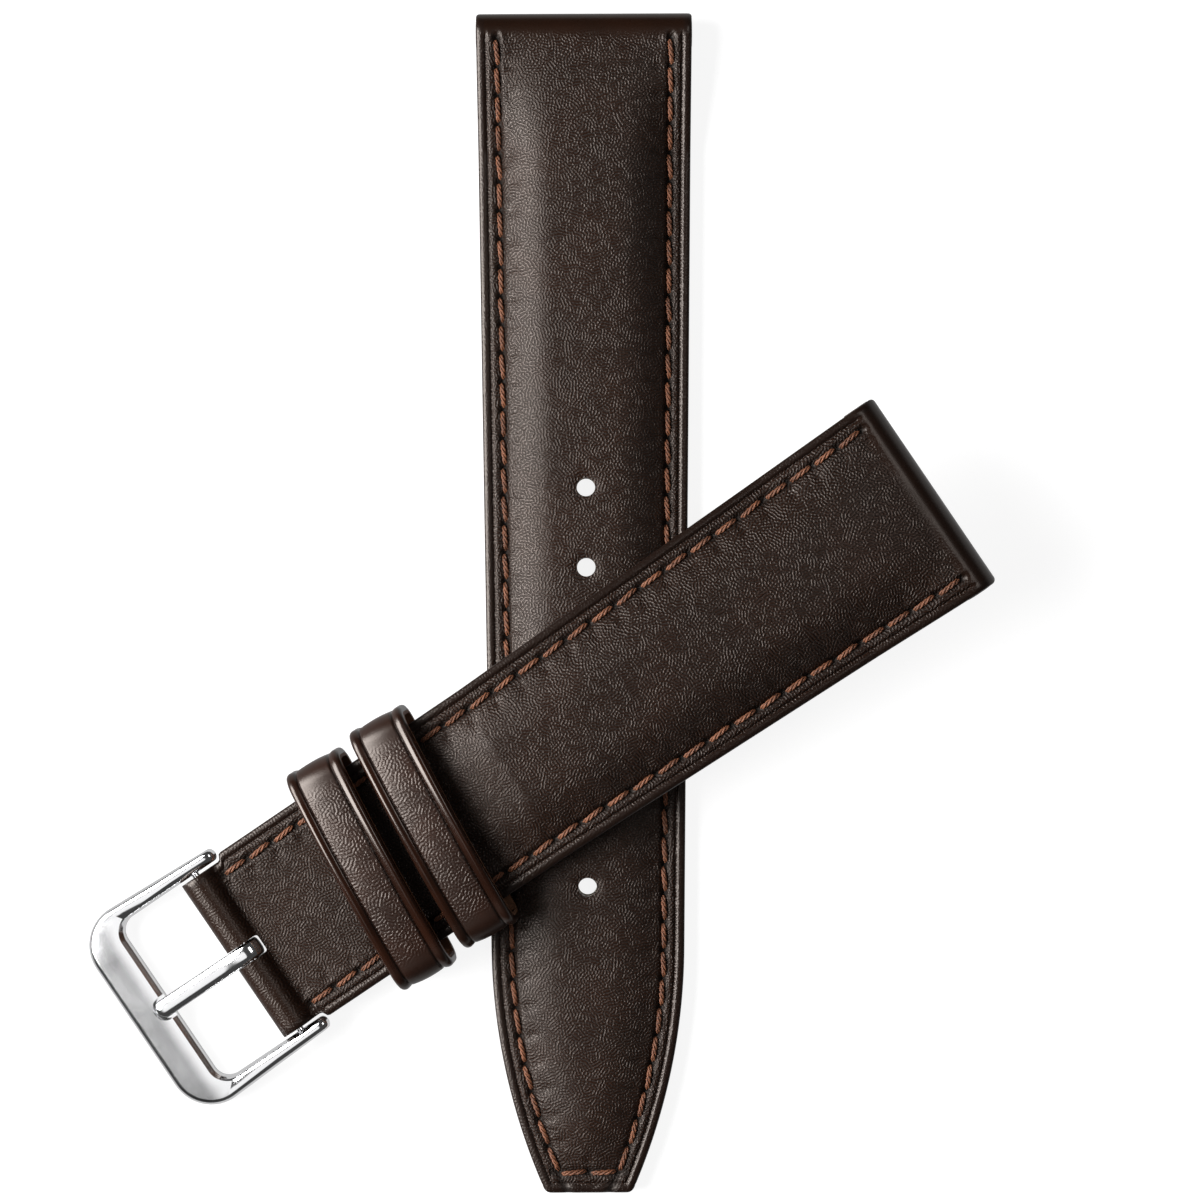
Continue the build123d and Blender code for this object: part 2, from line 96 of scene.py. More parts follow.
class Sheet:  # a node tree and the one way to add to it
    def __init__(self, tree):
        self.tree = tree
        tree.nodes.clear()

    def add(self, kind, settings=None, inputs=None, output=0):
        node = self.tree.nodes.new(kind)
        for name, value in (settings or {}).items():
            setattr(node, name, value)
        for name, value in (inputs or {}).items():
            if isinstance(value, Tap):
                self.tree.links.new(value.socket, node.inputs[name])
            else:
                node.inputs[name].default_value = value
        if len(node.outputs):
            return Tap(self, node.outputs[output])

    def mix(self, share, first, second):  # colours
        inputs = {0: share, 6: first, 7: second}
        return self.add("ShaderNodeMix", {"data_type": "RGBA"}, inputs, output=2)

    def tint(self, colour, strength):  # a colour made darker or lighter
        grey = self.add("ShaderNodeCombineColor", {}, {0: strength, 1: strength, 2: strength})
        inputs = {0: 1.0, 6: colour, 7: grey}
        return self.add("ShaderNodeMix", {"data_type": "RGBA", "blend_type": "MULTIPLY"}, inputs, output=2)

    def attribute(self, name):
        return self.add("ShaderNodeAttribute", {"attribute_name": name}, output="Fac")

    def place(self):  # the shaded point in the piece's own frame
        return self.add("ShaderNodeTexCoord", output="Object")

    def noise(self, place, size, detail=2.0, roughness=0.5, distortion=0.0):  # size in millimetres
        inputs = {"Vector": place, "Scale": 1 / (size * metresPerMm), "Detail": detail}
        inputs.update({"Roughness": roughness, "Distortion": distortion})
        return self.add("ShaderNodeTexNoise", {}, inputs)

    def waves(self, place, size, count, ridges=0.45):  # winding ridges, so many to each size in millimetres
        inputs = {"Vector": place, "Scale": 1 / (size * metresPerMm), "Frequency": count, "Anisotropy": 0.0}
        uneven = self.add("ShaderNodeTexGabor", {"gabor_type": "2D"}, inputs)
        even = (uneven.other("Phase") * -2 * math.pi).sine() * 0.5 + 0.5
        return uneven.ramp(0.3, 0.7) * ridges + even.ramp(0.1, 0.9) * (1 - ridges)

    def bump(self, height, depth, normal=None):  # depth in millimetres
        inputs = {"Height": height, "Distance": depth * metresPerMm}
        if normal:
            inputs["Normal"] = normal
        return self.add("ShaderNodeBump", {}, inputs)

    def finish(self, colour, roughness, normal, constant):
        inputs = {**constant, "Base Color": colour, "Roughness": roughness, "Normal": normal}
        surface = self.add("ShaderNodeBsdfPrincipled", {}, inputs)
        self.add("ShaderNodeOutputMaterial", {}, {"Surface": surface})


def newMaterial(name):
    material = bpy.data.materials.new(name)
    material.use_nodes = True
    return material, Sheet(material.node_tree)


def linear(red, green, blue):  # a colour given on the 0 to 255 scale
    shares = [value / 255 for value in (red, green, blue)]
    return (*[share ** 2.2 for share in shares], 1.0)


def leatherGrain(sheet, look):  # winding ridges, pores and a cloudy colour
    place = sheet.place()
    worms = sheet.waves(place, look["grainSize"], look["grainWaves"])
    pores = sheet.noise(place, look["poreSize"], 2.0, 0.6)
    cloud = sheet.noise(place, look["cloudSize"], 3.0, 0.55)
    return worms, pores, sheet.mix(cloud.ramp(0.35, 0.7), look["colour"], look["warmColour"])


def leatherSheen(look):
    return {"Specular IOR Level": look["specular"], "Specular Tint": look["sheenTint"]}


darkLeatherLook = {
    "colour": linear(29, 18, 12),
    "warmColour": linear(33, 20, 13),
    "edgeColour": linear(28, 19, 15),
    "cloudSize": 7.0,
    "grainSize": 0.95,
    "grainWaves": 3.0,
    "grainDepth": 0.06,
    "grainShade": 0.9,
    "poreSize": 0.14,
    "poreDepth": 0.003,
    "poreRoughness": 0.15,
    "specular": 0.4,
    "sheenTint": (1.0, 0.9, 0.83, 1.0),
    "roughness": 0.33,
    "valleyRoughness": 0.26,
    "plainRoughness": 0.3,
    # painted shade: how much darker the stitch pits and the rows beside the thread are
    "pitPaintedShade": 0.92,
    "pitRoughness": 0.4,
    "edgeBand": (0.7, 0.95),
    "edgeSmoothness": 0.8,
    "wrinkleSize": 0.5,
    "wrinkleStretch": 0.22,
    "wrinkleWarp": 0.8,
    "wrinkleDepth": 0.14,
    "leanWay": joints["keeper_slide"]["axis"],
}


def leatherMaterial(name, look):  # fine worm-like grain, painted edge, painted shade in the stitch pits and along the rows
    material, sheet = newMaterial(name)
    worms, pores, colour = leatherGrain(sheet, look)
    pit = sheet.attribute("pit")
    edge = 1 - sheet.attribute("inset").ramp(*look["edgeBand"])
    smooth = edge.maths("MAXIMUM", sheet.attribute("plain"), edge * look["edgeSmoothness"])
    rough = 1 - smooth
    colour = sheet.mix(edge, colour, look["edgeColour"])
    # grain tone: darker in the valleys, lighter on the ridges; partly the leather's own tone, partly painted
    # shade of the grain's relief
    shade = 1 + (worms - 0.5) * rough * look["grainShade"]
    # painted shade: darker in the stitch pits and in a band along each stitch row
    colour = sheet.tint(colour, (1 - pit * look["pitPaintedShade"]) * shade)
    roughness = look["roughness"] + (pores - 0.5) * look["poreRoughness"]
    roughness = roughness - smooth * (look["roughness"] - look["plainRoughness"])
    roughness = roughness + (1 - worms) * rough * look["valleyRoughness"] + pit * look["pitRoughness"]
    way = {"vector_type": "VECTOR", "convert_from": "OBJECT", "convert_to": "WORLD"}
    way = sheet.add("ShaderNodeVectorTransform", way, {"Vector": look["leanWay"]})
    lean = {0: way, "Scale": sheet.attribute("lean")}
    lean = sheet.add("ShaderNodeVectorMath", {"operation": "SCALE"}, lean)
    facing = sheet.add("ShaderNodeNewGeometry", output="Normal")
    facing = sheet.add("ShaderNodeVectorMath", {"operation": "ADD"}, {0: facing, 1: lean})
    facing = sheet.add("ShaderNodeVectorMath", {"operation": "NORMALIZE"}, {0: facing})
    stretched = {0: sheet.attribute("along"), 1: sheet.attribute("across") * look["wrinkleStretch"]}
    stretched = sheet.add("ShaderNodeCombineXYZ", {}, stretched)
    wrinkles = sheet.noise(stretched, look["wrinkleSize"], 2.0, 0.5, look["wrinkleWarp"])
    wrinkles = sheet.bump(wrinkles * sheet.attribute("gather"), look["wrinkleDepth"], facing)
    grain = sheet.bump(worms * rough, look["grainDepth"], wrinkles)
    normal = sheet.bump(pores * (1 - smooth * 0.6), look["poreDepth"], grain)
    sheet.finish(colour, roughness, normal, leatherSheen(look))
    return material


keeperLeatherLook = {
    "colour": linear(31, 18, 12),
    "warmColour": linear(38, 22, 15),
    "cloudSize": 5.0,
    "grainSize": 1.0,
    "grainWaves": 2.8,
    "grainDepth": 0.035,
    "grainShade": 0.3,
    "poreSize": 0.15,
    "poreDepth": 0.003,
    "poreRoughness": 0.1,
    "specular": 0.5,
    "sheenTint": (1.0, 0.9, 0.83, 1.0),
    "roughness": 0.36,
    "beadRoughness": 0.17,
    # painted shade: how much darker the creases beside the beads are
    "creasePaintedShade": 0.6,
}


def keeperMaterial(name, look):  # grained middle band, glossy beads and ends, painted shade in the creases
    material, sheet = newMaterial(name)
    worms, pores, colour = leatherGrain(sheet, look)
    plain = sheet.attribute("plain")
    bead = sheet.attribute("bead")
    crease = sheet.attribute("pit")
    rough = 1 - plain
    shade = worms * rough * look["grainShade"] + 0.85
    # painted shade along the creases beside the beads
    colour = sheet.tint(colour, (1 - crease * look["creasePaintedShade"]) * shade)
    roughness = look["roughness"] - bead * (look["roughness"] - look["beadRoughness"])
    roughness = roughness + (pores - 0.5) * look["poreRoughness"]
    grain = sheet.bump(worms * rough, look["grainDepth"])
    normal = sheet.bump(pores * (1 - plain * 0.7), look["poreDepth"], grain)
    sheet.finish(colour, roughness, normal, leatherSheen(look))
    return material


liningLook = {
    "colour": linear(96, 66, 46),
    "darkColour": linear(78, 52, 36),
    "napSize": 0.35,
    "cloudSize": 6.0,
    "napDepth": 0.03,
    "roughness": 0.75,
}


def liningMaterial(name, look):  # soft matte leather against the wrist
    material, sheet = newMaterial(name)
    nap = sheet.noise(sheet.place(), look["napSize"], 5.0, 0.7)
    cloud = sheet.noise(sheet.place(), look["cloudSize"], 4.0, 0.6)
    colour = sheet.mix(cloud.ramp(0.3, 0.7), look["darkColour"], look["colour"])
    colour = sheet.tint(colour, nap * 0.5 + 0.75)
    roughness = look["roughness"] + (nap - 0.5) * 0.3
    sheet.finish(colour, roughness, sheet.bump(nap, look["napDepth"]), {"Specular IOR Level": 0.3})
    return material


threadLook = {
    "colour": linear(124, 79, 56),
    "darkColour": linear(26, 15, 10),
    "fibreSize": 0.11,
    "fibreDepth": 0.03,
    "cloudSize": 1.4,
    "roughness": 0.55,
}


def threadMaterial(name, look):  # waxed brown thread with fine fibres
    material, sheet = newMaterial(name)
    fibre = sheet.noise(sheet.place(), look["fibreSize"], 3.0, 0.65)
    cloud = sheet.noise(sheet.place(), look["cloudSize"])
    shade = fibre.ramp(0.3, 0.65) * 0.65 + cloud.ramp(0.3, 0.7) * 0.35
    colour = sheet.mix(shade, look["darkColour"], look["colour"])
    roughness = look["roughness"] + (fibre - 0.5) * 0.3
    sheet.finish(colour, roughness, sheet.bump(fibre, look["fibreDepth"]), {"Specular IOR Level": 0.35})
    return material


paddingLook = {
    "colour": linear(196, 184, 160),
    "darkColour": linear(160, 146, 120),
    "fibreSize": 0.5,
    "fibreDepth": 0.08,
}
barStripLook = {
    **paddingLook,
    "colour": linear(70, 52, 42),
    "darkColour": linear(44, 32, 26),
}


def feltMaterial(name, look):  # pressed fibre filler and the woven bar strip
    material, sheet = newMaterial(name)
    fibre = sheet.noise(sheet.place(), look["fibreSize"], 6.0, 0.75, 1.5)
    colour = sheet.mix(fibre.ramp(0.3, 0.7), look["darkColour"], look["colour"])
    sheet.finish(colour, fibre * 0.2 + 0.75, sheet.bump(fibre, look["fibreDepth"]), {})
    return material


steelLook = {
    "colour": (0.9, 0.9, 0.91, 1.0),
    "roughness": 0.11,
    "satinBand": (0.05, 0.5),
    "satinRoughness": 0.16,
    "satinShade": 0.79,
    "satinSize": 0.22,
    "satinDepth": 0.004,
    "grainShade": 0.15,
    "grainRoughness": 0.12,
    "smearSize": 3.0,
    "smearShade": 0.3,
    "smearRoughness": 0.05,
}
wireLook = {
    **steelLook,
    "colour": (0.55, 0.55, 0.57, 1.0),
    "roughness": 0.25,
}


def steelMaterial(name, look):  # polished steel, satin where the "satin" attribute says
    material, sheet = newMaterial(name)
    satin = sheet.attribute("satin").ramp(*look["satinBand"])
    grain = sheet.noise(sheet.place(), look["satinSize"], 4.0, 0.7)
    smear = sheet.noise(sheet.place(), look["smearSize"], 3.0, 0.6)
    roughness = look["roughness"] + satin * (look["satinRoughness"] - look["roughness"])
    roughness = roughness + (smear - 0.5) * look["smearRoughness"]
    roughness = roughness + satin * (grain - 0.5) * look["grainRoughness"]
    shade = look["satinShade"] - grain * look["grainShade"] - smear * look["smearShade"]
    colour = sheet.tint(look["colour"], 1 - satin * shade)
    sheet.finish(colour, roughness, sheet.bump(grain * satin, look["satinDepth"]), {"Metallic": 1.0})
    return material


leather = leatherMaterial("darkLeather", darkLeatherLook)
keeperLeather = keeperMaterial("keeperLeather", keeperLeatherLook)
liningLeather = liningMaterial("liningLeather", liningLook)
thread = threadMaterial("waxedThread", threadLook)
felt = feltMaterial("pressedFelt", paddingLook)
barStrip = feltMaterial("barStrip", barStripLook)
steel = steelMaterial("polishedSteel", steelLook)
wireSteel = steelMaterial("springSteel", wireLook)
print("materials made")


# Meshes in millimetres in a half's own frame: lug end at y = 0, running towards -y, underside at z = 0

barrelRadius = mounts["long_lug_bore"]["pos_m"][2] / metresPerMm


def halfFrame(mount, along):
    across = Vector(mount["axis"]).normalized()
    up = across.cross(along)
    turn = Matrix((across, along, up)).transposed().to_4x4()
    origin = Vector(mount["pos_m"]) + (along - up) * barrelRadius * metresPerMm
    return Matrix.Translation(origin) @ turn


longPlace = halfFrame(mounts["long_lug_bore"], Vector((0, 1, 0)))
shortPlace = halfFrame(mounts["short_lug_bore"], Vector(joints["keeper_slide"]["axis"]).normalized())
pivot = shortPlace.inverted() @ Vector(joints["buckle_swing"]["pos_m"]) / metresPerMm
pivotPlace = shortPlace @ Matrix.Translation(pivot * metresPerMm)


def inScene(name, data):
    piece = bpy.data.objects.new(name, data)
    bpy.context.scene.collection.objects.link(piece)
    return piece


def meshPiece(name, points, faces, place, material, sharpAngle=50):
    mesh = bpy.data.meshes.new(name)
    mesh.from_pydata([place @ (Vector(point) * metresPerMm) for point in points], [], faces)
    work = bmesh.new()
    work.from_mesh(mesh)
    bmesh.ops.recalc_face_normals(work, faces=work.faces)
    work.to_mesh(mesh)
    work.free()
    mesh.shade_smooth()
    mesh.set_sharp_from_angle(angle=math.radians(sharpAngle))
    mesh.materials.append(material)
    return inScene(name, mesh)


def applied(piece):  # the modifiers' result becomes the piece's own mesh
    graph = bpy.context.evaluated_depsgraph_get()
    mesh = bpy.data.meshes.new_from_object(piece.evaluated_get(graph))
    piece.modifiers.clear()
    piece.data = mesh
    return piece


def drill(piece, cutter, sharpAngle=50):  # takes the cutter's solids out of the piece
    hole = piece.modifiers.new("hole", "BOOLEAN")
    hole.operation = "DIFFERENCE"
    hole.solver = "MANIFOLD"
    hole.object = cutter
    applied(piece)
    bpy.data.objects.remove(cutter)
    piece.data.set_sharp_from_angle(angle=math.radians(sharpAngle))


def prism(outline, low, high, lift):  # a solid between two heights; lift places a (u, v, height) point
    count = len(outline)
    points = [lift(u, v, height) for height in (low, high) for u, v in outline]
    faces = [tuple(range(count)), tuple(range(count, 2 * count))]
    faces += [(i, (i + 1) % count, count + (i + 1) % count, count + i) for i in range(count)]
    return points, faces


def circle(radius, count, centre=(0, 0)):
    turns = [2 * math.pi * index / count for index in range(count)]
    return [(centre[0] + radius * math.cos(turn), centre[1] + radius * math.sin(turn)) for turn in turns]


def tubeFaces(rings, size):  # joins rings of points, each with so many, into a tube with closed ends
    faces = [tuple(range(size)), tuple(range((rings - 1) * size, rings * size))]
    for i in range(rings - 1):
        for j in range(size):
            m = (j + 1) % size
            faces.append((i * size + j, i * size + m, (i + 1) * size + m, (i + 1) * size + j))
    return faces


def cutterOf(name, solids, place):
    points, faces = [], []
    for solidPoints, solidFaces in solids:
        faces += [tuple(index + len(points) for index in face) for face in solidFaces]
        points += solidPoints
    return meshPiece(name, points, faces, place, leather)


def upright(u, v, height):  # prisms that stand up
    return (u, v, height)


def sideways(u, v, height):  # prisms that lie across the strap, u along y and v up
    return (height, u, v)


def setAttribute(piece, name, values):
    layer = piece.data.attributes.new(name, "FLOAT", "POINT")
    layer.data.foreach_set("value", np.asarray(values, dtype=np.float32))


def ownPoints(piece, place):  # the mesh's points in millimetres in a half's frame
    flat = np.zeros(len(piece.data.vertices) * 3, dtype=np.float32)
    piece.data.vertices.foreach_get("co", flat)
    back = np.array(place.inverted())
    return (flat.reshape(-1, 3) @ back[:3, :3].T + back[:3, 3]) / metresPerMm


def smoothStep(value, low, high):
    share = np.clip((value - low) / (high - low), 0, 1)
    return share * share * (3 - 2 * share)


def bell(value, width):
    return np.exp(-((value / width) ** 2))


strap = {
    "lugWidth": mounts["long_lug_bore"]["dims"]["length_mm"],
    "firstHole": 48.3,
    "holePitch": 8.14,
    "rowsPerPitch": 30,
    "rowsBefore": 170,
    "columnHalf": 9.0,
    "liningThickness": 0.9,
    "liningStart": 3.0,
    "turnUnder": 0.6,
    "marginHeight": 1.9,
    "lugTurnLength": 14.0,
    "leatherThickness": 1.0,
    "padInset": 2.25,
    "shoulderWidth": 5.2,
    "shoulderPower": 2.1,
    "fillInset": (3.0, 3.5),
    "fillStart": (4.2, 4.9),
    "fillWidth": 3.9,
    "fillPower": 2.3,
    "crownBow": 0.35,
    "bowHalf": 7.0,
    "bowLimit": 1.3,
    "stitchInset": 2.1,
    "stitchStart": 2.7,
    "stitchPitch": 2.9,
    "seamFade": 0.8,
    "grooveDepth": 0.2,
    "grooveWidth": 0.4,
    "pitDepth": 0.5,
    "pitWidth": 0.34,
    "puckerHeight": 0.12,
    "puckerPlace": 0.62,
    "puckerWidth": 0.22,
    "gatherDepth": 0.18,
    "gatherPlace": 1.1,
    "gatherWidth": 0.8,
    "gatherReach": 0.5,
    "creaseInset": 0.95,
    "creaseWidth": 0.16,
    "creaseDepth": 0.2,
    "edgeRound": 0.6,
    "edgeFall": 0.32,
    "holeDip": 0.2,
    "holeDipWidth": 0.42,
    "loopRadius": 1.35,
    "lugCorner": 0.45,
    "lugDrop": 0.25,
    "lugDropEnd": 6.5,
    "topAbove": 1.2,
    # painted shade round each stitch pit and along each row: widths across and along, then the row's
    # strength and width
    "pitPaintedShade": (0.4, 0.42),
    "rowPaintedShade": 0.6,
    "rowPaintedShadeWidth": 0.42,
    "lugPlain": (1.7, 3.4),
    "wrinkleStart": (0.15, 0.5),
    "wrinkleReach": 1.1,
}


def fromHole(along, length, count):  # distance along a row from its nearest stitch hole
    pitch = length / count
    return along - pitch * np.clip(np.round(along / pitch), 0, count)


class HoleHalf:  # plan and heights of the half with the pin holes
    name = "long"
    length = 120.3
    curveStart = 95.4
    curveWidth = 19.7
    tipWidth = 8.8
    cornerRadius = 1.0
    crownPlaces = [2.05, 4.0, 6.5, 10, 14, 95.4, 112.8, 120.3]
    crowns = [3.85, 4.1, 4.3, 4.45, 4.5, 3.3, 3.15, 2.6]
    fillPlaces = [3.1, 6.5, 14, 95.4, 112.8, 120.3]
    fillCrowns = [4.05, 4.4, 4.5, 3.0, 2.75, 2.6]
    holeRadius = 0.95
    holePlaces = [strap["firstHole"] + index * strap["holePitch"] for index in range(6)]
    tipCount = 2

    def __init__(self):
        self.lug = np.array([strap["lugWidth"] / 2, 0.0])
        self.shoulder = np.array([self.curveWidth / 2, self.curveStart])
        way = self.shoulder - self.lug
        self.straight = np.hypot(*way)
        self.way = way / self.straight
        self.inward = np.array([-self.way[1], self.way[0]])
        reach = np.array([self.tipWidth / 2, self.length]) - self.shoulder
        self.radius = reach @ reach / (2 * self.inward @ reach)
        self.centre = self.shoulder + self.inward * self.radius
        self.cornerX = self.centre[0] + math.sqrt(
            (self.radius - self.cornerRadius) ** 2
            - (self.length - self.cornerRadius - self.centre[1]) ** 2
        )
        self.farX = self.insetX(self.length - strap["stitchInset"], strap["stitchInset"])
        self.sideLength = self.sideAlong(self.farX, self.length - strap["stitchInset"])
        self.sideCount = int(self.sideLength / strap["stitchPitch"])

    def insetX(self, place, inset):  # the edge moved in, without the rounded corner
        place = np.asarray(place, dtype=float)
        slope = self.way[0] / self.way[1]
        line = self.lug[0] + slope * place - inset / self.way[1]
        arc = self.centre[0] + np.sqrt(
            np.maximum((self.radius - inset) ** 2 - (place - self.centre[1]) ** 2, 0)
        )
        return np.where(place < self.curveStart, line, arc)

    def halfWidth(self, place):
        place = np.asarray(place, dtype=float)
        drop = place - (self.length - self.cornerRadius)
        corner = self.cornerX + np.sqrt(np.maximum(self.cornerRadius ** 2 - drop ** 2, 0))
        return np.where(drop > 0, np.minimum(self.insetX(place, 0), corner), self.insetX(place, 0))

    def sideInset(self, x, place):
        x = np.abs(x)
        line = (x - self.shoulder[0]) * self.inward[0] + (place - self.shoulder[1]) * self.inward[1]
        arc = self.radius - np.hypot(x - self.centre[0], place - self.centre[1])
        return np.where(place < self.curveStart, line, arc)

    def inset(self, x, place):
        return np.minimum(self.sideInset(x, place), self.length - place)

    def padInset(self, x, place):  # a softer version for the padding's corners
        side, tip = self.sideInset(x, place), self.length - place
        blend = 3.0
        share = np.maximum(blend - np.abs(side - tip), 0) / blend
        return np.minimum(side, tip) - share * share * blend / 4

    def sideAlong(self, x, place):  # distance along the side's stitch row
        x = np.abs(x)
        line = (x - self.lug[0]) * self.way[0] + place * self.way[1]
        turn = np.arctan2(
            (x - self.centre[0]) * self.way[0] + (place - self.centre[1]) * self.way[1],
            -(x - self.centre[0]) * self.inward[0] - (place - self.centre[1]) * self.inward[1],
        )
        arc = self.straight + (self.radius - strap["stitchInset"]) * turn
        return np.where(place < self.curveStart, line, arc) - strap["stitchStart"]

    def pits(self, x, place):  # distances from the nearest stitch hole, across and along
        across = self.sideInset(x, place) - strap["stitchInset"]
        along = fromHole(self.sideAlong(x, place), self.sideLength, self.sideCount)
        tipPitch = 2 * self.farX / self.tipCount
        tipAcross = self.length - place - strap["stitchInset"]
        tipAlong = x - tipPitch * np.round(x / tipPitch)
        nearTip = (np.abs(tipAcross) < np.abs(across)) & (np.abs(x) < self.farX + 1)
        return np.where(nearTip, tipAcross, across), np.where(nearTip, tipAlong, along)

    def stitched(self, place):
        return smoothStep(place, strap["stitchStart"] - strap["seamFade"], strap["stitchStart"])

    def lean(self, place):
        return np.zeros(len(place))

    def rows(self):  # each stitch row as points (x, place) and its number of stitches
        distances = np.linspace(0, self.sideLength, 6 * self.sideCount + 1)
        inset = strap["stitchInset"]
        line = self.lug + self.inward * inset
        points = []
        for distance in distances + strap["stitchStart"]:
            if distance < self.straight:
                points.append(line + self.way * distance)
            else:
                turn = (distance - self.straight) / (self.radius - inset)
                arm = -self.inward * math.cos(turn) + self.way * math.sin(turn)
                points.append(self.centre + arm * (self.radius - inset))
        tip = [(x, self.length - inset) for x in np.linspace(-self.farX, self.farX, 13)]
        right = [tuple(point) for point in points]
        left = [(-x, place) for x, place in right]
        return [(right, self.sideCount), (left, self.sideCount), (tip, self.tipCount)]


class BuckleHalf:  # plan and heights of the half that carries the buckle
    name = "short"
    length = 85.8
    taperLength = 51.0
    buckleWidth = 20.0
    tabStart = 81.0
    tabWidth = 18.6
    tabRound = 0.25
    foldRadius = 1.8
    foldBlend = 0.5
    tailStart = 73.8
    crownPlaces = [2.05, 4.0, 6.5, 10, 14, 51.0, 54.5, 58.5, 90]
    crowns = [3.85, 4.05, 4.25, 4.35, 4.4, 3.65, 2.9, 1.95, 1.9]
    fillPlaces = [3.1, 6.5, 14, 51.0, 54.5, 58.5, 90]
    fillCrowns = [4.05, 4.35, 4.4, 3.65, 2.9, 1.95, 1.9]
    stitchEnd = 81.7
    sideCount = 26
    slotWidth = 2.04
    slotReach = 1.86
    slotCorner = 0.3
    barHoleRadius = 0.8
    holePlaces = []
    stitchFade = 0.6
    leanMost = 0.27
    leanFall = 0.19
    leanReach = (24, 62)
    tabPlain = (81.5, 83.5)
    tabPlainShare = 0.75

    def __init__(self):
        self.slope = (self.buckleWidth - strap["lugWidth"]) / 2 / self.taperLength
        self.stretch = math.hypot(1, self.slope)
        self.sideLength = float(self.sideAlong(0, self.stitchEnd))

    def insetX(self, place, inset):
        place = np.asarray(place, dtype=float)
        return strap["lugWidth"] / 2 + self.slope * np.minimum(place, self.taperLength) - inset

    def foldHeight(self, place, margin):  # the margin, rising round the bar inside the fold
        away = self.length - self.foldRadius - place
        arc = self.foldRadius + np.sqrt(np.maximum(self.foldRadius ** 2 - away ** 2, 0))
        arc = np.where(away < self.foldRadius, arc, 0)
        share = np.maximum(self.foldBlend - np.abs(arc - margin), 0) / self.foldBlend
        return np.maximum(arc, margin) + share * share * self.foldBlend / 4

    def halfWidth(self, place):
        step = smoothStep(place, self.tabStart - self.tabRound, self.tabStart + self.tabRound)
        return self.insetX(place, 0) - step * (self.buckleWidth - self.tabWidth) / 2

    def sideInset(self, x, place):
        return self.insetX(place, 0) - np.abs(x)

    def inset(self, x, place):
        return self.halfWidth(place) - np.abs(x)

    def padInset(self, x, place):
        return self.sideInset(x, place)

    def sideAlong(self, x, place):
        sloping = np.minimum(place, self.taperLength) - strap["stitchStart"]
        return sloping * self.stretch + np.maximum(place - self.taperLength, 0)

    def pits(self, x, place):
        along = fromHole(self.sideAlong(x, place), self.sideLength, self.sideCount)
        return self.sideInset(x, place) - strap["stitchInset"], along

    def stitched(self, place):
        start = smoothStep(place, strap["stitchStart"] - strap["seamFade"], strap["stitchStart"])
        return start * (1 - smoothStep(place, self.stitchEnd, self.stitchEnd + self.stitchFade))

    def lean(self, place):  # the arched strap's shading on the straight one, strongest at the lug
        return self.leanMost - self.leanFall * smoothStep(place, *self.leanReach)

    def rows(self):
        places = np.linspace(strap["stitchStart"], self.stitchEnd, 6 * self.sideCount + 1)
        right = [(float(self.insetX(place, strap["stitchInset"])), place) for place in places]
        return [(right, self.sideCount), ([(-x, place) for x, place in right], self.sideCount)]


def marginHeight(place):
    share = np.clip((place - barrelRadius) / (strap["lugTurnLength"] - barrelRadius), 0, 1)
    slope = 2 * barrelRadius + (strap["marginHeight"] - 2 * barrelRadius) * share
    return slope - strap["lugDrop"] * (1 - smoothStep(place, barrelRadius, strap["lugDropEnd"]))


def smoothHeight(half, x, place, width, power, places, heights):  # stitched margin and padded middle
    margin = marginHeight(place)
    share = np.clip((half.padInset(x, place) - strap["padInset"]) / width, 0, 1)
    bow = strap["crownBow"] * np.minimum(np.abs(x) / strap["bowHalf"], strap["bowLimit"]) ** 2
    crown = np.interp(place, places, heights) - bow
    return margin + np.maximum(crown - margin, 0) * (1 - (1 - share) ** power)


def edgeDrop(inset):  # how far the painted edge falls away
    fall = np.clip(1 - inset / strap["edgeRound"], 0, 1)
    return strap["edgeFall"] * (1 - np.sqrt(np.maximum(1 - fall ** 2, 0)))


def topHeight(half, x, place):
    shape = (strap["shoulderWidth"], strap["shoulderPower"], half.crownPlaces, half.crowns)
    height = smoothHeight(half, x, place, *shape)
    if half.name == "short":
        height = half.foldHeight(place, height)
    inset = half.inset(x, place)
    across, along = half.pits(x, place)
    stitched = half.stitched(place)
    height = height - stitched * strap["grooveDepth"] * bell(across, strap["grooveWidth"])
    pit = bell(across, strap["pitWidth"]) * bell(along, strap["pitWidth"])
    height = height - stitched * (strap["pitDepth"] - strap["grooveDepth"]) * pit
    ridge = bell(np.abs(across) - strap["puckerPlace"], strap["puckerWidth"])
    ridge = ridge * bell(along, strap["pitWidth"])
    height = height + stitched * strap["puckerHeight"] * ridge
    gather = bell(across - strap["gatherPlace"], strap["gatherWidth"]) * bell(along, strap["gatherReach"])
    height = height - stitched * strap["gatherDepth"] * gather
    crease = bell(inset - strap["creaseInset"], strap["creaseWidth"])
    height = height - stitched * strap["creaseDepth"] * crease - edgeDrop(inset)
    for spot in half.holePlaces:
        away = np.maximum(np.hypot(x, place - spot) - half.holeRadius, 0)
        height = height - strap["holeDip"] * bell(away, strap["holeDipWidth"])
    return height


def bottomHeight(half, x, place):  # underside of the face leather, over the lining and the padding
    fill = smoothStep(half.padInset(x, place), *strap["fillInset"]) * smoothStep(place, *strap["fillStart"])
    shape = (strap["fillWidth"], strap["fillPower"], half.fillPlaces, half.fillCrowns)
    spare = smoothHeight(half, x, place, *shape) - strap["leatherThickness"] - strap["liningThickness"]
    return strap["liningThickness"] + np.maximum(spare, 0) * fill


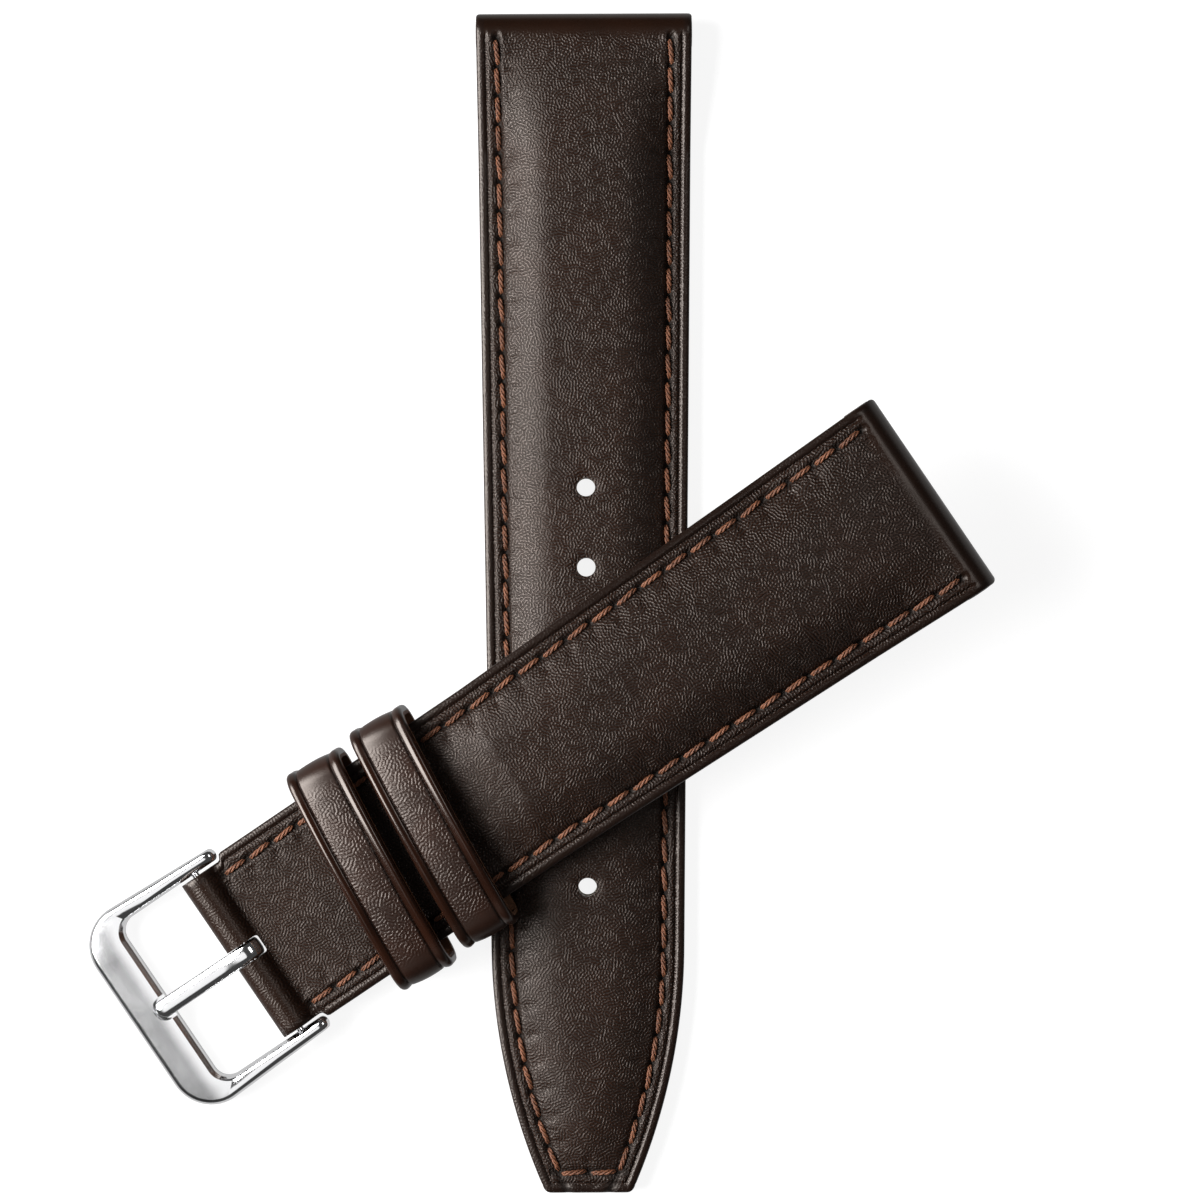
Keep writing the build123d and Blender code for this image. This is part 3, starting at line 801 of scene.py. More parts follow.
def columnPlaces(half, place):  # x of each grid column at a distance from the lug
    insets = np.array([
        0, 0.03, 0.09, 0.18, 0.3, 0.42, 0.55, 0.7, 0.82, 0.89, 0.95, 1.01, 1.09, 1.22, 1.4, 1.58, 1.72,
        1.84, 1.94, 2.02, 2.1, 2.18, 2.26, 2.36, 2.48, 2.62, 2.8, 3.05, 3.35, 3.7, 4.1, 4.6, 5.2, 5.9,
    ])
    width = half.halfWidth(place)
    outer = width - insets * min(1.0, width / strap["columnHalf"])
    inner = np.linspace(outer[-1], 0, 13)[1:]
    right = np.concatenate([outer, inner])
    return np.concatenate([-right, right[-2::-1]])


def faceRows(half):  # matching rows of upper and lower points, from the lug's front to the far end
    step = strap["holePitch"] / strap["rowsPerPitch"]  # a row falls on every pin hole's middle
    first = strap["firstHole"] - strap["rowsBefore"] * step
    turns = np.linspace(0, math.pi / 2, 11)
    xs = columnPlaces(half, barrelRadius)
    upper, lower = [], []

    def row(rows, place, height):
        rows.append((xs, np.broadcast_to(place, xs.shape), np.broadcast_to(height, xs.shape)))

    corner = strap["lugCorner"]
    drop = edgeDrop(half.halfWidth(barrelRadius) - np.abs(xs))
    for turn in turns[:-1]:
        place = barrelRadius * (1 - math.cos(turn))
        cut = corner - math.sqrt(corner ** 2 - max(corner - place, 0) ** 2)
        xs = columnPlaces(half, barrelRadius) * (1 - cut / half.halfWidth(barrelRadius))
        row(upper, place, barrelRadius + (barrelRadius - strap["lugDrop"] - drop) * math.sin(turn))
        row(lower, place, barrelRadius * (1 - math.sin(turn)))
    farEnd = half.length if half.name == "long" else half.length - half.foldRadius
    fine = np.array([1.6, 1.42, 1.26, 1.12, 1.0, 0.86, 0.72, 0.58, 0.45, 0.33, 0.22, 0.13, 0.06, 0.02, 0])
    places = np.concatenate([np.arange(first, farEnd - fine[0] - step / 2, step), farEnd - fine])
    start, thick = strap["liningStart"], strap["liningThickness"]
    turnUnder = [(start - strap["turnUnder"], 0), (start, 0), (start, thick / 2), (start, thick)]
    for index, place in enumerate(places):
        xs = columnPlaces(half, place)
        row(upper, place, topHeight(half, xs, place))
        if index < len(turnUnder):
            row(lower, *turnUnder[index])
        elif half.name == "short" and place > half.tailStart + 3 * step:
            row(lower, place, 0)
        elif half.name == "short" and place > half.tailStart:  # down the end of the lining
            share = 1 - (place - half.tailStart) // step / 2
            row(lower, half.tailStart, thick * max(share, 0))
        else:
            row(lower, place, bottomHeight(half, xs, place))
    if half.name == "short":
        xs = columnPlaces(half, farEnd)
        drop = edgeDrop(half.halfWidth(farEnd) - np.abs(xs))
        for turn in turns[1:]:
            place = farEnd + half.foldRadius * math.sin(turn)
            row(upper, place, half.foldRadius * (1 + math.cos(turn)) - drop * math.cos(turn))
            row(lower, place, half.foldRadius * (1 - math.cos(turn)))
    return upper, lower


def faceLeather(half, place, node, body):
    upper, lower = faceRows(half)
    count, columns = len(upper), len(upper[0][0])
    points, top, bottom = [], [], []

    def addRow(row):
        start = len(points)
        points.extend((float(x), -float(along), float(height)) for x, along, height in zip(*row))
        return list(range(start, len(points)))

    for index in range(count):
        top.append(addRow(upper[index]))
        closed = index == 0 or (index == count - 1 and half.name == "short")
        bottom.append(top[-1] if closed else addRow(lower[index]))
    faces = []
    for near, far, low, lowFar in zip(top, top[1:], bottom, bottom[1:]):
        for i in range(columns - 1):
            faces.append((near[i], far[i], far[i + 1], near[i + 1]))
            faces.append((low[i], low[i + 1], lowFar[i + 1], lowFar[i]))
        for i in (0, columns - 1):
            side = [near[i], low[i], lowFar[i], far[i]]
            faces.append(tuple(dict.fromkeys(side)))
    if half.name == "long":
        end, under = top[-1], bottom[-1]
        faces += [(end[i], end[i + 1], under[i + 1], under[i]) for i in range(columns - 1)]
    piece = meshPiece(node, points, faces, place, leather)
    overrun = 1.5
    reach = strap["lugWidth"] / 2 + overrun
    bore = circle(strap["loopRadius"], 40, (-barrelRadius, barrelRadius))
    solids = [prism(bore, -reach, reach, sideways)]
    for spot in half.holePlaces:
        solids.append(prism(circle(half.holeRadius, 48, (0, -spot)), -overrun, 3 * barrelRadius, upright))
    drill(piece, cutterOf("holes", solids, place))
    if half.name == "short":
        wide, bend = half.slotWidth / 2, half.slotCorner
        centre = half.length - half.foldRadius - half.slotReach + bend
        slot = []
        for side, start in ((1, 0), (-1, math.pi / 2)):
            for turn in np.linspace(start, start + math.pi / 2, 9):
                slot.append((side * (wide - bend) + bend * math.cos(turn), bend * math.sin(turn) - centre))
        slot += [(-wide, -half.length - overrun), (wide, -half.length - overrun)]
        drill(piece, cutterOf("slot", [prism(slot, -overrun, 2 * barrelRadius, upright)], place))
        bar = circle(half.barHoleRadius, 32, (half.foldRadius - half.length, half.foldRadius))
        drill(piece, cutterOf("barHole", [prism(bar, -reach, reach, sideways)], place))
    own = ownPoints(piece, place)
    x, along, height = own[:, 0], -own[:, 1], own[:, 2]
    across, between = half.pits(x, along)
    onTop = height > np.where(along < barrelRadius, 0, strap["topAbove"])
    sewn = half.stitched(along) * onTop
    # painted shade mask: dark round each stitch pit and in a band along each row; the same mask makes these
    # places rougher
    hole = bell(across, strap["pitPaintedShade"][0]) * bell(between, strap["pitPaintedShade"][1])
    hole = np.maximum(hole, bell(across, strap["rowPaintedShadeWidth"]) * strap["rowPaintedShade"])
    plain = 1 - smoothStep(along, *strap["lugPlain"])
    if half.name == "short":
        plain = np.maximum(plain, smoothStep(along, *half.tabPlain) * half.tabPlainShare)
    past = np.maximum(across - strap["wrinkleStart"][1], 0)
    gather = smoothStep(across, *strap["wrinkleStart"]) * bell(past, strap["wrinkleReach"])
    values = {
        "inset": np.where(onTop, half.inset(x, along), 0),
        "pit": hole * sewn,
        "plain": plain,
        "lean": half.lean(along),
        "gather": gather * sewn,
        "along": along * metresPerMm,
        "across": across * metresPerMm,
    }
    for name, value in values.items():
        setAttribute(piece, name, value)
    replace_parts(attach(piece, body), node)


holeHalf = HoleHalf()
buckleHalf = BuckleHalf()
faceLeather(holeHalf, longPlace, "long_face_leather", "long_half")
faceLeather(buckleHalf, shortPlace, "short_face_leather", "short_half")
print("face leather made")


stitches = {
    "length": 2.54,
    "strands": 3,
    "strandRadius": 0.118,
    "twistRadius": 0.152,
    "turns": 1.3,
    "dip": 0.42,
    "dipPower": 3.5,
    "narrowing": 0.25,
    "narrowingPower": 4.0,
    "flatness": 0.85,
    "underFlatness": 0.36,
    "underDip": 0.08,
    "lift": 0.03,
    "slant": 5.0,
    "wander": 3.0,
    "seed": 7,
}
stitchSockets = {
    "row": "Geometry", "count": "Int", "length": "Float", "strandRadius": "Float", "twistRadius": "Float",
    "turns": "Float", "dip": "Float", "flatness": "Float", "slant": "Float", "wander": "Float",
    "seed": "Int", "up": "Vector", "thread": "Material",
}


def stitchTree():  # stands a twisted three-strand stitch between every two holes of a row
    tree = bpy.data.node_groups.new("lockStitches", "GeometryNodeTree")
    sheet = Sheet(tree)
    for name, kind in stitchSockets.items():
        tree.interface.new_socket(name=name, in_out="INPUT", socket_type="NodeSocket" + kind)
    tree.interface.new_socket(name="stitches", in_out="OUTPUT", socket_type="NodeSocketGeometry")
    given = sheet.add("NodeGroupInput")
    length, twist = given.other("length"), given.other("twistRadius")
    spiral = sheet.add("GeometryNodeCurveSpiral", {}, {
        "Resolution": 14, "Rotations": given.other("turns"), "Height": length,
        "Start Radius": twist, "End Radius": twist,
    })
    ring = {"Resolution": 7, "Radius": given.other("strandRadius")}
    ring = sheet.add("GeometryNodeCurvePrimitiveCircle", {}, ring)
    strand = {"Curve": spiral, "Profile Curve": ring, "Fill Caps": True}
    strand = sheet.add("GeometryNodeCurveToMesh", {}, strand)
    middle = sheet.add("ShaderNodeCombineXYZ", {}, {"Z": length * -0.5})
    bundle = sheet.add("GeometryNodeJoinGeometry")
    for index in range(stitches["strands"]):
        turned = sheet.add("GeometryNodeTransform", {}, {
            "Geometry": strand, "Translation": middle,
            "Rotation": (0, 0, index * 2 * math.pi / stitches["strands"]),
        })
        sheet.tree.links.new(turned.socket, bundle.socket.node.inputs[0])
    spot = sheet.add("ShaderNodeSeparateXYZ", {}, {0: sheet.add("GeometryNodeInputPosition")})
    share = abs(spot.other("Z")) / (length * 0.5)
    fall = given.other("dip") * share ** stitches["dipPower"]
    narrow = 1 - stitches["narrowing"] * share ** stitches["narrowingPower"]
    bent = sheet.add("ShaderNodeCombineXYZ", {}, {
        "X": spot * given.other("flatness") * narrow - fall,
        "Y": spot.other("Y") * narrow,
        "Z": spot.other("Z"),
    })
    stitch = sheet.add("GeometryNodeSetPosition", {}, {"Geometry": bundle, "Position": bent})
    smooth = sheet.add("GeometryNodeSetShadeSmooth", {}, {"Geometry": stitch})
    row = sheet.add("GeometryNodeMeshToCurve", {}, {"Mesh": given})
    number, count = sheet.add("GeometryNodeInputIndex"), given.other("count")
    along = {"Curves": row, "Factor": (number + 0.5) / count}
    along = sheet.add("GeometryNodeSampleCurve", {"mode": "FACTOR"}, along)
    marks = sheet.add("GeometryNodePoints", {}, {"Count": count, "Position": along.other("Position")})
    slant, wander = given.other("slant"), given.other("wander")
    turn = {2: slant - wander, 3: slant + wander, "Seed": given.other("seed")}
    turn = sheet.add("FunctionNodeRandomValue", {"data_type": "FLOAT"}, turn, output=1)
    facing = {"Vector": along.other("Tangent")}
    facing = sheet.add("FunctionNodeAlignRotationToVector", {"axis": "Z"}, facing)
    facing = {"Rotation": facing, "Vector": given.other("up")}
    facing = sheet.add("FunctionNodeAlignRotationToVector", {"axis": "X", "pivot_axis": "Z"}, facing)
    roll = sheet.add("FunctionNodeAxisAngleToRotation", {}, {"Axis": (1, 0, 0), "Angle": turn})
    facing = sheet.add("FunctionNodeRotateRotation", {"rotation_space": "LOCAL"}, {0: facing, 1: roll})
    placed = {"Points": marks, "Instance": smooth, "Rotation": facing}
    placed = sheet.add("GeometryNodeInstanceOnPoints", {}, placed)
    real = sheet.add("GeometryNodeRealizeInstances", {}, {"Geometry": placed})
    dyed = sheet.add("GeometryNodeSetMaterial", {}, {"Geometry": real, "Material": given.other("thread")})
    sheet.add("NodeGroupOutput", {}, {0: dyed})
    return tree


def stitchRow(row, count, place, height, up, values):  # one row as a plain mesh
    points = [place @ (Vector((x, -along, height(along))) * metresPerMm) for x, along in row]
    mesh = bpy.data.meshes.new("row")
    mesh.from_pydata(points, [(i, i + 1) for i in range(len(points) - 1)], [])
    piece = inScene("row", mesh)
    maker = piece.modifiers.new("stitches", "NODES")
    maker.node_group = lockStitches
    given = {**values, "count": count, "up": up, "thread": thread}
    for socket in lockStitches.interface.items_tree:
        if socket.name in given:
            maker[socket.identifier] = given[socket.name]
    return applied(piece)


def seam(half, place, node, body, under):
    up = place.to_3x3().col[2] * (-1 if under else 1)
    middle = stitches["underFlatness"] * (stitches["strandRadius"] + stitches["twistRadius"])
    values = dict(stitches)
    if under:
        values.update({"flatness": stitches["underFlatness"], "dip": stitches["underDip"]})
    for name in ("length", "strandRadius", "twistRadius", "dip"):
        values[name] = values[name] * metresPerMm
    for name in ("slant", "wander"):
        values[name] = math.radians(values[name])

    def height(along):
        return middle if under else float(marginHeight(along)) + stitches["lift"]

    rows = [stitchRow(row, count, place, height, up, values) for row, count in half.rows()]
    work = bmesh.new()
    for row in rows:
        work.from_mesh(row.data)
        bpy.data.objects.remove(row)
    mesh = bpy.data.meshes.new(node)
    work.to_mesh(mesh)
    work.free()
    mesh.materials.append(thread)
    piece = inScene(node, mesh)
    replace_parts(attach(piece, body), node)


lockStitches = stitchTree()
for half, place, body in ((holeHalf, longPlace, "long_half"), (buckleHalf, shortPlace, "short_half")):
    seam(half, place, half.name + "_top_thread", body, False)
    seam(half, place, half.name + "_under_thread", body, True)
print("stitches made")


keeper = {
    "halfWidth": 11.35,
    "sideHeight": 3.85,
    "bow": 1.1,
    "cornerRadius": 1.2,
    "footRadius": 0.6,
    "skew": -5.5,
    "slack": 0.1,
    "floatingPlace": 60.7,
    "fixedPlace": 68.5,
    "band": 6.0,
    "lining": 0.35,
    "wall": 0.9,
    "beadHeight": 0.17,
    "beadPlace": 2.5,
    "beadWidth": 0.42,
    "beadStart": (1.73, 1.98),
    "beadFade": 0.7,
    "creasePlace": 1.88,
    "creaseWidth": 0.11,
    "creaseDepth": 0.13,
    # width of the painted shade along each crease
    "creasePaintedShadeWidth": 0.143,
    "crown": 0.16,
    "edgeRound": 0.3,
    "plainStart": (8.2, 10.4),
}


def keeperLoop(slack):  # inner outline as points (x, height) with outward normals, counter-clockwise
    half, foot, corner = keeper["halfWidth"], keeper["footRadius"], keeper["cornerRadius"]
    bowRadius = (half ** 2 + keeper["bow"] ** 2) / (2 * keeper["bow"])
    bowCentre = keeper["sideHeight"] + keeper["bow"] - bowRadius
    cornerHeight = bowCentre + math.sqrt((bowRadius - corner) ** 2 - (half - corner) ** 2)
    lean = math.atan2(half - corner, cornerHeight - bowCentre)
    right = []
    for x in np.linspace(0, half - foot, 14)[:-1]:
        right.append((x, -slack, 0, -1))
    for turn in np.linspace(-math.pi / 2, 0, 9):
        side, rise = math.cos(turn), math.sin(turn)
        right.append((half - foot + foot * side, foot - slack + foot * rise, side, rise))
    for height in np.linspace(foot - slack, cornerHeight, 8)[1:-1]:
        right.append((half, height, 1, 0))
    for turn in np.linspace(0, math.pi / 2 - lean, 12):
        side, rise = math.cos(turn), math.sin(turn)
        right.append((half - corner + corner * side, cornerHeight + corner * rise, side, rise))
    for turn in np.linspace(lean, 0, 36)[1:]:
        side, rise = math.sin(turn), math.cos(turn)
        right.append((bowRadius * side, bowCentre + bowRadius * rise, side, rise))
    left = [(-x, height, -side, rise) for x, height, side, rise in right[-2:0:-1]]
    return right + left


def keeperSection(piece):  # closed outline of the band as (across the band, thickness)
    half, curve = keeper["band"] / 2, keeper["edgeRound"]
    if piece == "lining":
        return [(-half, 0), (half, 0), (half, keeper["lining"]), (-half, keeper["lining"])]
    outer = []
    for across in np.linspace(-half, half, 81):
        drop = max(0, abs(across) - half + curve) / curve
        bead = bell(abs(across) - keeper["beadPlace"], keeper["beadWidth"])
        crease = bell(abs(across) - keeper["creasePlace"], keeper["creaseWidth"])
        height = keeper["wall"] + keeper["beadHeight"] * bead - keeper["creaseDepth"] * crease
        height += keeper["crown"] * max(0, 1 - (across / keeper["creasePlace"]) ** 2)
        outer.append((across, height - curve * (1 - math.sqrt(max(0, 1 - drop ** 2)))))
    return outer + [(across, keeper["lining"]) for across in (half, half * 0.5, -half * 0.5, -half)]


def keeperPiece(node, body, spot, slack, part, material):
    loop, section = keeperLoop(slack), keeperSection(part)
    skew = Matrix.Rotation(math.radians(keeper["skew"]), 4, "Z")
    place = shortPlace @ (Matrix.Translation((0, -spot * metresPerMm, 0)) @ skew)
    points = []
    for x, height, side, rise in loop:
        for across, thick in section:
            points.append((x + side * thick, across, height + rise * thick))
    faces = []
    turns, size = len(loop), len(section)
    for i in range(turns):
        for j in range(size):
            k, m = (i + 1) % turns, (j + 1) % size
            faces.append((i * size + j, k * size + j, k * size + m, i * size + m))
    piece = meshPiece(node, points, faces, place, material)
    own = np.abs(ownPoints(piece, place))
    onBead = smoothStep(own[:, 1], *keeper["beadStart"])
    onEnd = smoothStep(own[:, 0], *keeper["plainStart"])
    setAttribute(piece, "bead", onBead * (1 - onEnd * keeper["beadFade"]))
    setAttribute(piece, "plain", np.maximum(onBead, onEnd))
    # mask of the painted shade along the creases, stored as pit
    setAttribute(piece, "pit", bell(own[:, 1] - keeper["creasePlace"], keeper["creasePaintedShadeWidth"]))
    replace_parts(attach(piece, body), node)


keepers = [
    ("fixed_keeper", "short_half", keeper["fixedPlace"], 0),
    ("floating_keeper", "sliding_keeper", keeper["floatingPlace"], keeper["slack"]),
]
for node, body, spot, slack in keepers:
    keeperPiece(node, body, spot, slack, "strip", keeperLeather)
    keeperPiece(node + "_lining", body, spot, slack, "lining", liningLeather)
print("keepers made")


buckle = {
    "earHalfWidth": 10.95,
    "earReach": 3.0,
    "earRound": 1.0,
    "earCorner": 0.62,
    "halfWidth": 11.55,
    "halfThickness": 1.0,
    "windowHalfWidth": 9.6,
    "barInner": 9.7,
    "barOuter": 14.0,
    "outerCorner": 4.4,
    "windowCorner": 1.7,
    "armBevel": 0.8,
    "armBevelDrop": 0.85,
    "barBevel": 0.42,
    "barBevelDrop": 0.5,
    "barBlend": (5.0, 13.0),
    "bevelLimit": 0.45,
    "outerRound": 0.75,
    "roundLimit": 0.4,
    "footRound": 0.35,
    "footBend": 0.3,
    "notchWidth": 2.6,
    "notchReach": 11.45,
    "notchDepth": 0.85,
    "pinHoleRadius": 0.45,
    "pinHoleEnd": 10.4,
    "flatBand": 0.03,
}


def earFall(y):  # how far the ear's rounded corner stands back from its side
    past = min(0.98, max(0.0, y - buckle["earReach"] + buckle["earCorner"]) / buckle["earCorner"])
    return buckle["earCorner"] * (1 - math.sqrt(1 - past ** 2))


def framePairs():  # outer and inner plan points from the ear's tip to the middle of the bar
    earReach, inner, outer = buckle["earReach"], buckle["barInner"], buckle["barOuter"]
    corners = [
        (buckle["halfWidth"], outer - buckle["outerCorner"], buckle["outerCorner"]),
        (buckle["windowHalfWidth"], inner - buckle["windowCorner"], buckle["windowCorner"]),
    ]
    outerEnd, innerEnd = corners[0][1], corners[1][1]
    slope = (buckle["halfWidth"] - buckle["earHalfWidth"]) / (earReach + outer - buckle["outerCorner"])
    pairs = []
    for share in np.concatenate([[0, 0.01, 0.02, 0.035, 0.05, 0.075], np.linspace(0.1, 1, 28)]):
        outerY = earReach - share * (earReach + outerEnd)
        innerY = earReach - share * (earReach + innerEnd)
        outerX = buckle["earHalfWidth"] + slope * (earReach - outerY) - earFall(outerY)
        pairs.append(((outerX, outerY), (buckle["windowHalfWidth"] + earFall(innerY), innerY)))
    for share in np.linspace(0, 1, 19)[1:]:
        turn = share * math.pi / 2
        back, down = 1 - math.cos(turn), math.sin(turn)
        pairs.append(tuple((wide - bend * back, -end - bend * down) for wide, end, bend in corners))
    outerStart, innerStart = pairs[-1][0][0], pairs[-1][1][0]
    for share in np.linspace(0, 1, 22)[1:]:
        pairs.append(((outerStart * (1 - share), -outer), (innerStart * (1 - share), -inner)))
    return pairs


def frameSection(outer, inner):  # round on the arms, a flat chamfer on the bar
    outer, inner = np.array(outer), np.array(inner)
    width = np.hypot(*(inner - outer))
    barShare = float(smoothStep(-outer[1], *buckle["barBlend"]))
    tip = max(0.0, outer[1] - buckle["earReach"] + buckle["earRound"]) / buckle["earRound"]
    high = buckle["halfThickness"] * math.sqrt(max(0.02, 1 - tip ** 2))
    bevel = buckle["armBevel"] + (buckle["barBevel"] - buckle["armBevel"]) * barShare
    bevel = min(bevel, width * buckle["bevelLimit"])
    drop = buckle["armBevelDrop"] + (buckle["barBevelDrop"] - buckle["armBevelDrop"]) * barShare
    drop = min(high, drop)
    edge = min(buckle["outerRound"], width * buckle["roundLimit"], high)
    foot = min(buckle["footRound"], high)
    bend = foot * buckle["footBend"]
    outline = [(0, foot - high), (bend, bend - high), (foot, -high)]
    outline += [(width - foot, -high), (width - bend, bend - high), (width, foot - high)]
    for share in np.linspace(0, 1, 8):
        turn = share * math.pi / 2
        back = (1 - math.cos(turn)) * (1 - barShare) + share * barShare
        fall = (1 - math.sin(turn)) * (1 - barShare) + (1 - share) * barShare
        outline.append((width - bevel * back, high - drop * fall))
    for turn in np.linspace(0, math.pi / 2, 8):
        outline.append((edge * (1 - math.sin(turn)), high - edge * (1 - math.cos(turn))))
    way = (inner - outer) / width
    return [(*(outer + way * reach), height) for reach, height in outline]


def buckleFrame():
    right = [frameSection(outer, inner) for outer, inner in framePairs()]
    sections = right + [[(-x, y, height) for x, y, height in section] for section in right[-2::-1]]
    points = [point for section in sections for point in section]
    faces = tubeFaces(len(sections), len(sections[0]))
    piece = meshPiece("buckle_frame", points, faces, pivotPlace, steel, 38)
    half, floor = buckle["notchWidth"] / 2, buckle["halfThickness"] - buckle["notchDepth"]
    centre = buckle["notchReach"] - half
    turns = np.linspace(0, math.pi, 25)
    notch = [(half * math.cos(turn), -centre - half * math.sin(turn)) for turn in turns]
    notch += [(-half, -buckle["barInner"] + 1), (half, -buckle["barInner"] + 1)]
    ears = prism(circle(buckle["pinHoleRadius"], 24), -buckle["pinHoleEnd"], buckle["pinHoleEnd"], sideways)
    solids = [prism(notch, floor, 2 * buckle["halfThickness"], upright), ears]
    drill(piece, cutterOf("notch", solids, pivotPlace), 38)
    own = ownPoints(piece, pivotPlace)
    flat = own[:, 2] > buckle["halfThickness"] - buckle["flatBand"]
    inner, outer = buckle["barInner"] + buckle["barBevel"], buckle["barOuter"] - buckle["outerRound"]
    setAttribute(piece, "satin", flat * np.clip((-own[:, 1] - inner) / (outer - inner), 0, 1))
    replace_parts(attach(piece, "buckle"), "buckle_frame")


tongue = {
    "halfWidth": 0.95,
    "eyeRadius": 1.2,
    "curlThickness": 0.78,
    "curlEnd": 236,
    "curlBlend": 70,
    "rootHeight": 1.1,
    "rootThickness": 0.9,
    "rootBlend": 0.25,
    "reach": 11.25,
    "slope": 0.04,
    "tipStart": 0.9,
    "tipShare": 0.1,
    "tipSpacing": 0.085,
    "tipDrop": 0.06,
    "tipHeight": 0.66,
    "tipThickness": 0.92,
    "tipThinning": 0.4,
    "tipThinLength": 0.5,
    "bevel": 0.28,
    "crown": 0.03,
    "crownShare": 0.35,
}


def tonguePath():  # (y, height, tangent, thickness, half width) from the curl's end to the tip
    size = tongue
    stations = []
    for degrees in np.linspace(size["curlEnd"], 0, 34):
        turn = math.radians(degrees)
        share = float(smoothStep(degrees, 0, size["curlBlend"]))
        thick = size["rootThickness"] + (size["curlThickness"] - size["rootThickness"]) * share
        tangent = (-math.cos(turn), math.sin(turn))
        y, height = size["eyeRadius"] * math.sin(turn), size["eyeRadius"] * math.cos(turn)
        stations.append((y, height, tangent, thick, size["halfWidth"]))
    tipShares = 1 - size["tipSpacing"] * np.cos(np.linspace(0.15, math.pi / 2, 12))
    for share in np.concatenate([np.linspace(0, size["tipStart"], 26)[1:], tipShares]):
        fall = size["rootHeight"] + (size["tipHeight"] - size["rootHeight"]) * share
        blend = float(smoothStep(share, 0, size["rootBlend"]))
        level = height * (1 - blend) + fall * blend
        level -= size["tipDrop"] * max(0, (share - size["tipStart"]) / size["tipShare"]) ** 2
        thick = size["rootThickness"] + (size["tipThickness"] - size["rootThickness"]) * share
        place, wide = -size["reach"] * share, size["halfWidth"]
        near = max(0, place + size["reach"])
        if near < wide:
            wide = math.sqrt(max(0.0025, wide ** 2 - (wide - near) ** 2))
            thin = math.sqrt(min(1, near / size["tipThinLength"]))
            thick *= 1 - size["tipThinning"] + size["tipThinning"] * thin
        stations.append((place, level, (-1, -size["slope"]), thick, wide))
    return stations


def tongueSection(wide, thick):  # (x, out) round one station, bevelled above and rounded below
    half, bevel = thick / 2, min(tongue["bevel"], wide * 0.45, thick * 0.4)
    low, mid = bevel * 0.6, bevel * 0.3
    top, flat = half + tongue["crown"], wide * tongue["crownShare"]
    return [
        (-wide, -half + low), (-wide + low, -half), (wide - low, -half), (wide, -half + low),
        (wide, half - bevel), (wide - mid, half - bevel * 0.45), (wide - bevel, half - 0.02),
        (flat, top), (-flat, top),
        (-wide + bevel, half - 0.02), (-wide + mid, half - bevel * 0.45), (-wide, half - bevel),
    ]


def tonguePiece():
    points, stations = [], tonguePath()
    for y, height, tangent, thick, wide in stations:
        length = math.hypot(*tangent)
        normal = (-tangent[1] / length, tangent[0] / length)
        if normal[0] * y + normal[1] * height < 0:
            normal = (-normal[0], -normal[1])
        outline = tongueSection(wide, thick)
        points += [(x, y + normal[0] * out, height + normal[1] * out) for x, out in outline]
    faces = tubeFaces(len(stations), len(outline))
    piece = meshPiece("buckle_tongue", points, faces, pivotPlace, steel, 40)
    setAttribute(piece, "satin", np.zeros(len(piece.data.vertices)))
    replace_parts(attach(piece, "tongue"), "buckle_tongue")


buckleFrame()
tonguePiece()
print("buckle made")


dressing = {
    "long_lining": liningLeather, "short_lining": liningLeather,
    "long_padding": felt, "short_padding": felt,
    "long_bar_loop": barStrip, "short_bar_loop": barStrip,
    "spring_bar_tube": steel, "spring_bar_pin_left": steel, "spring_bar_pin_right": steel,
    "spring_bar_spring": wireSteel,
}
for node, material in dressing.items():
    mesh = frame["nodes"][node].data
    mesh.materials.clear()
    mesh.materials.append(material)
print("carried-over nodes dressed")


studio = {
    "cameraHeight": 375.0,
    "cameraX": 6.5,
    "cameraY": 0.36,
    "cameraRoll": -0.253,
    "pixels": 1200,
    "pixelsPerMm": 9.79,
    "strapHeight": 1.5,
    "floorSize": 3.0,
    "floorDrop": 0.00005,
    "floorMirror": 0.6,
    "floorGlow": 1.12,
    "floorShare": 0.78,
    "keyPlace": (-0.262, 0.012, 0.2),
    "keySize": (0.28, 0.22),
    "keyPower": 3.4,
    "sidePlace": (0.36, 0.26, 0.66),
    "sideSize": (0.22, 0.22),
    "sidePower": 0.6,
    "skyLevel": 0.2,
    "cardWay": (-0.291, -0.237, 0.927),
    "cardInner": 7.0,
    "cardOuter": 13.0,
    "cardLevel": 0.95,
    "studioDark": 0.05,
}


def softbox(name, place, size, power):
    lamp = bpy.data.lights.new(name, "AREA")
    lamp.shape = "RECTANGLE"
    lamp.size, lamp.size_y = size
    lamp.energy = power
    holder = inScene(name, lamp)
    holder.location = place
    holder.rotation_euler = (-Vector(place)).to_track_quat("-Z", "Y").to_euler()


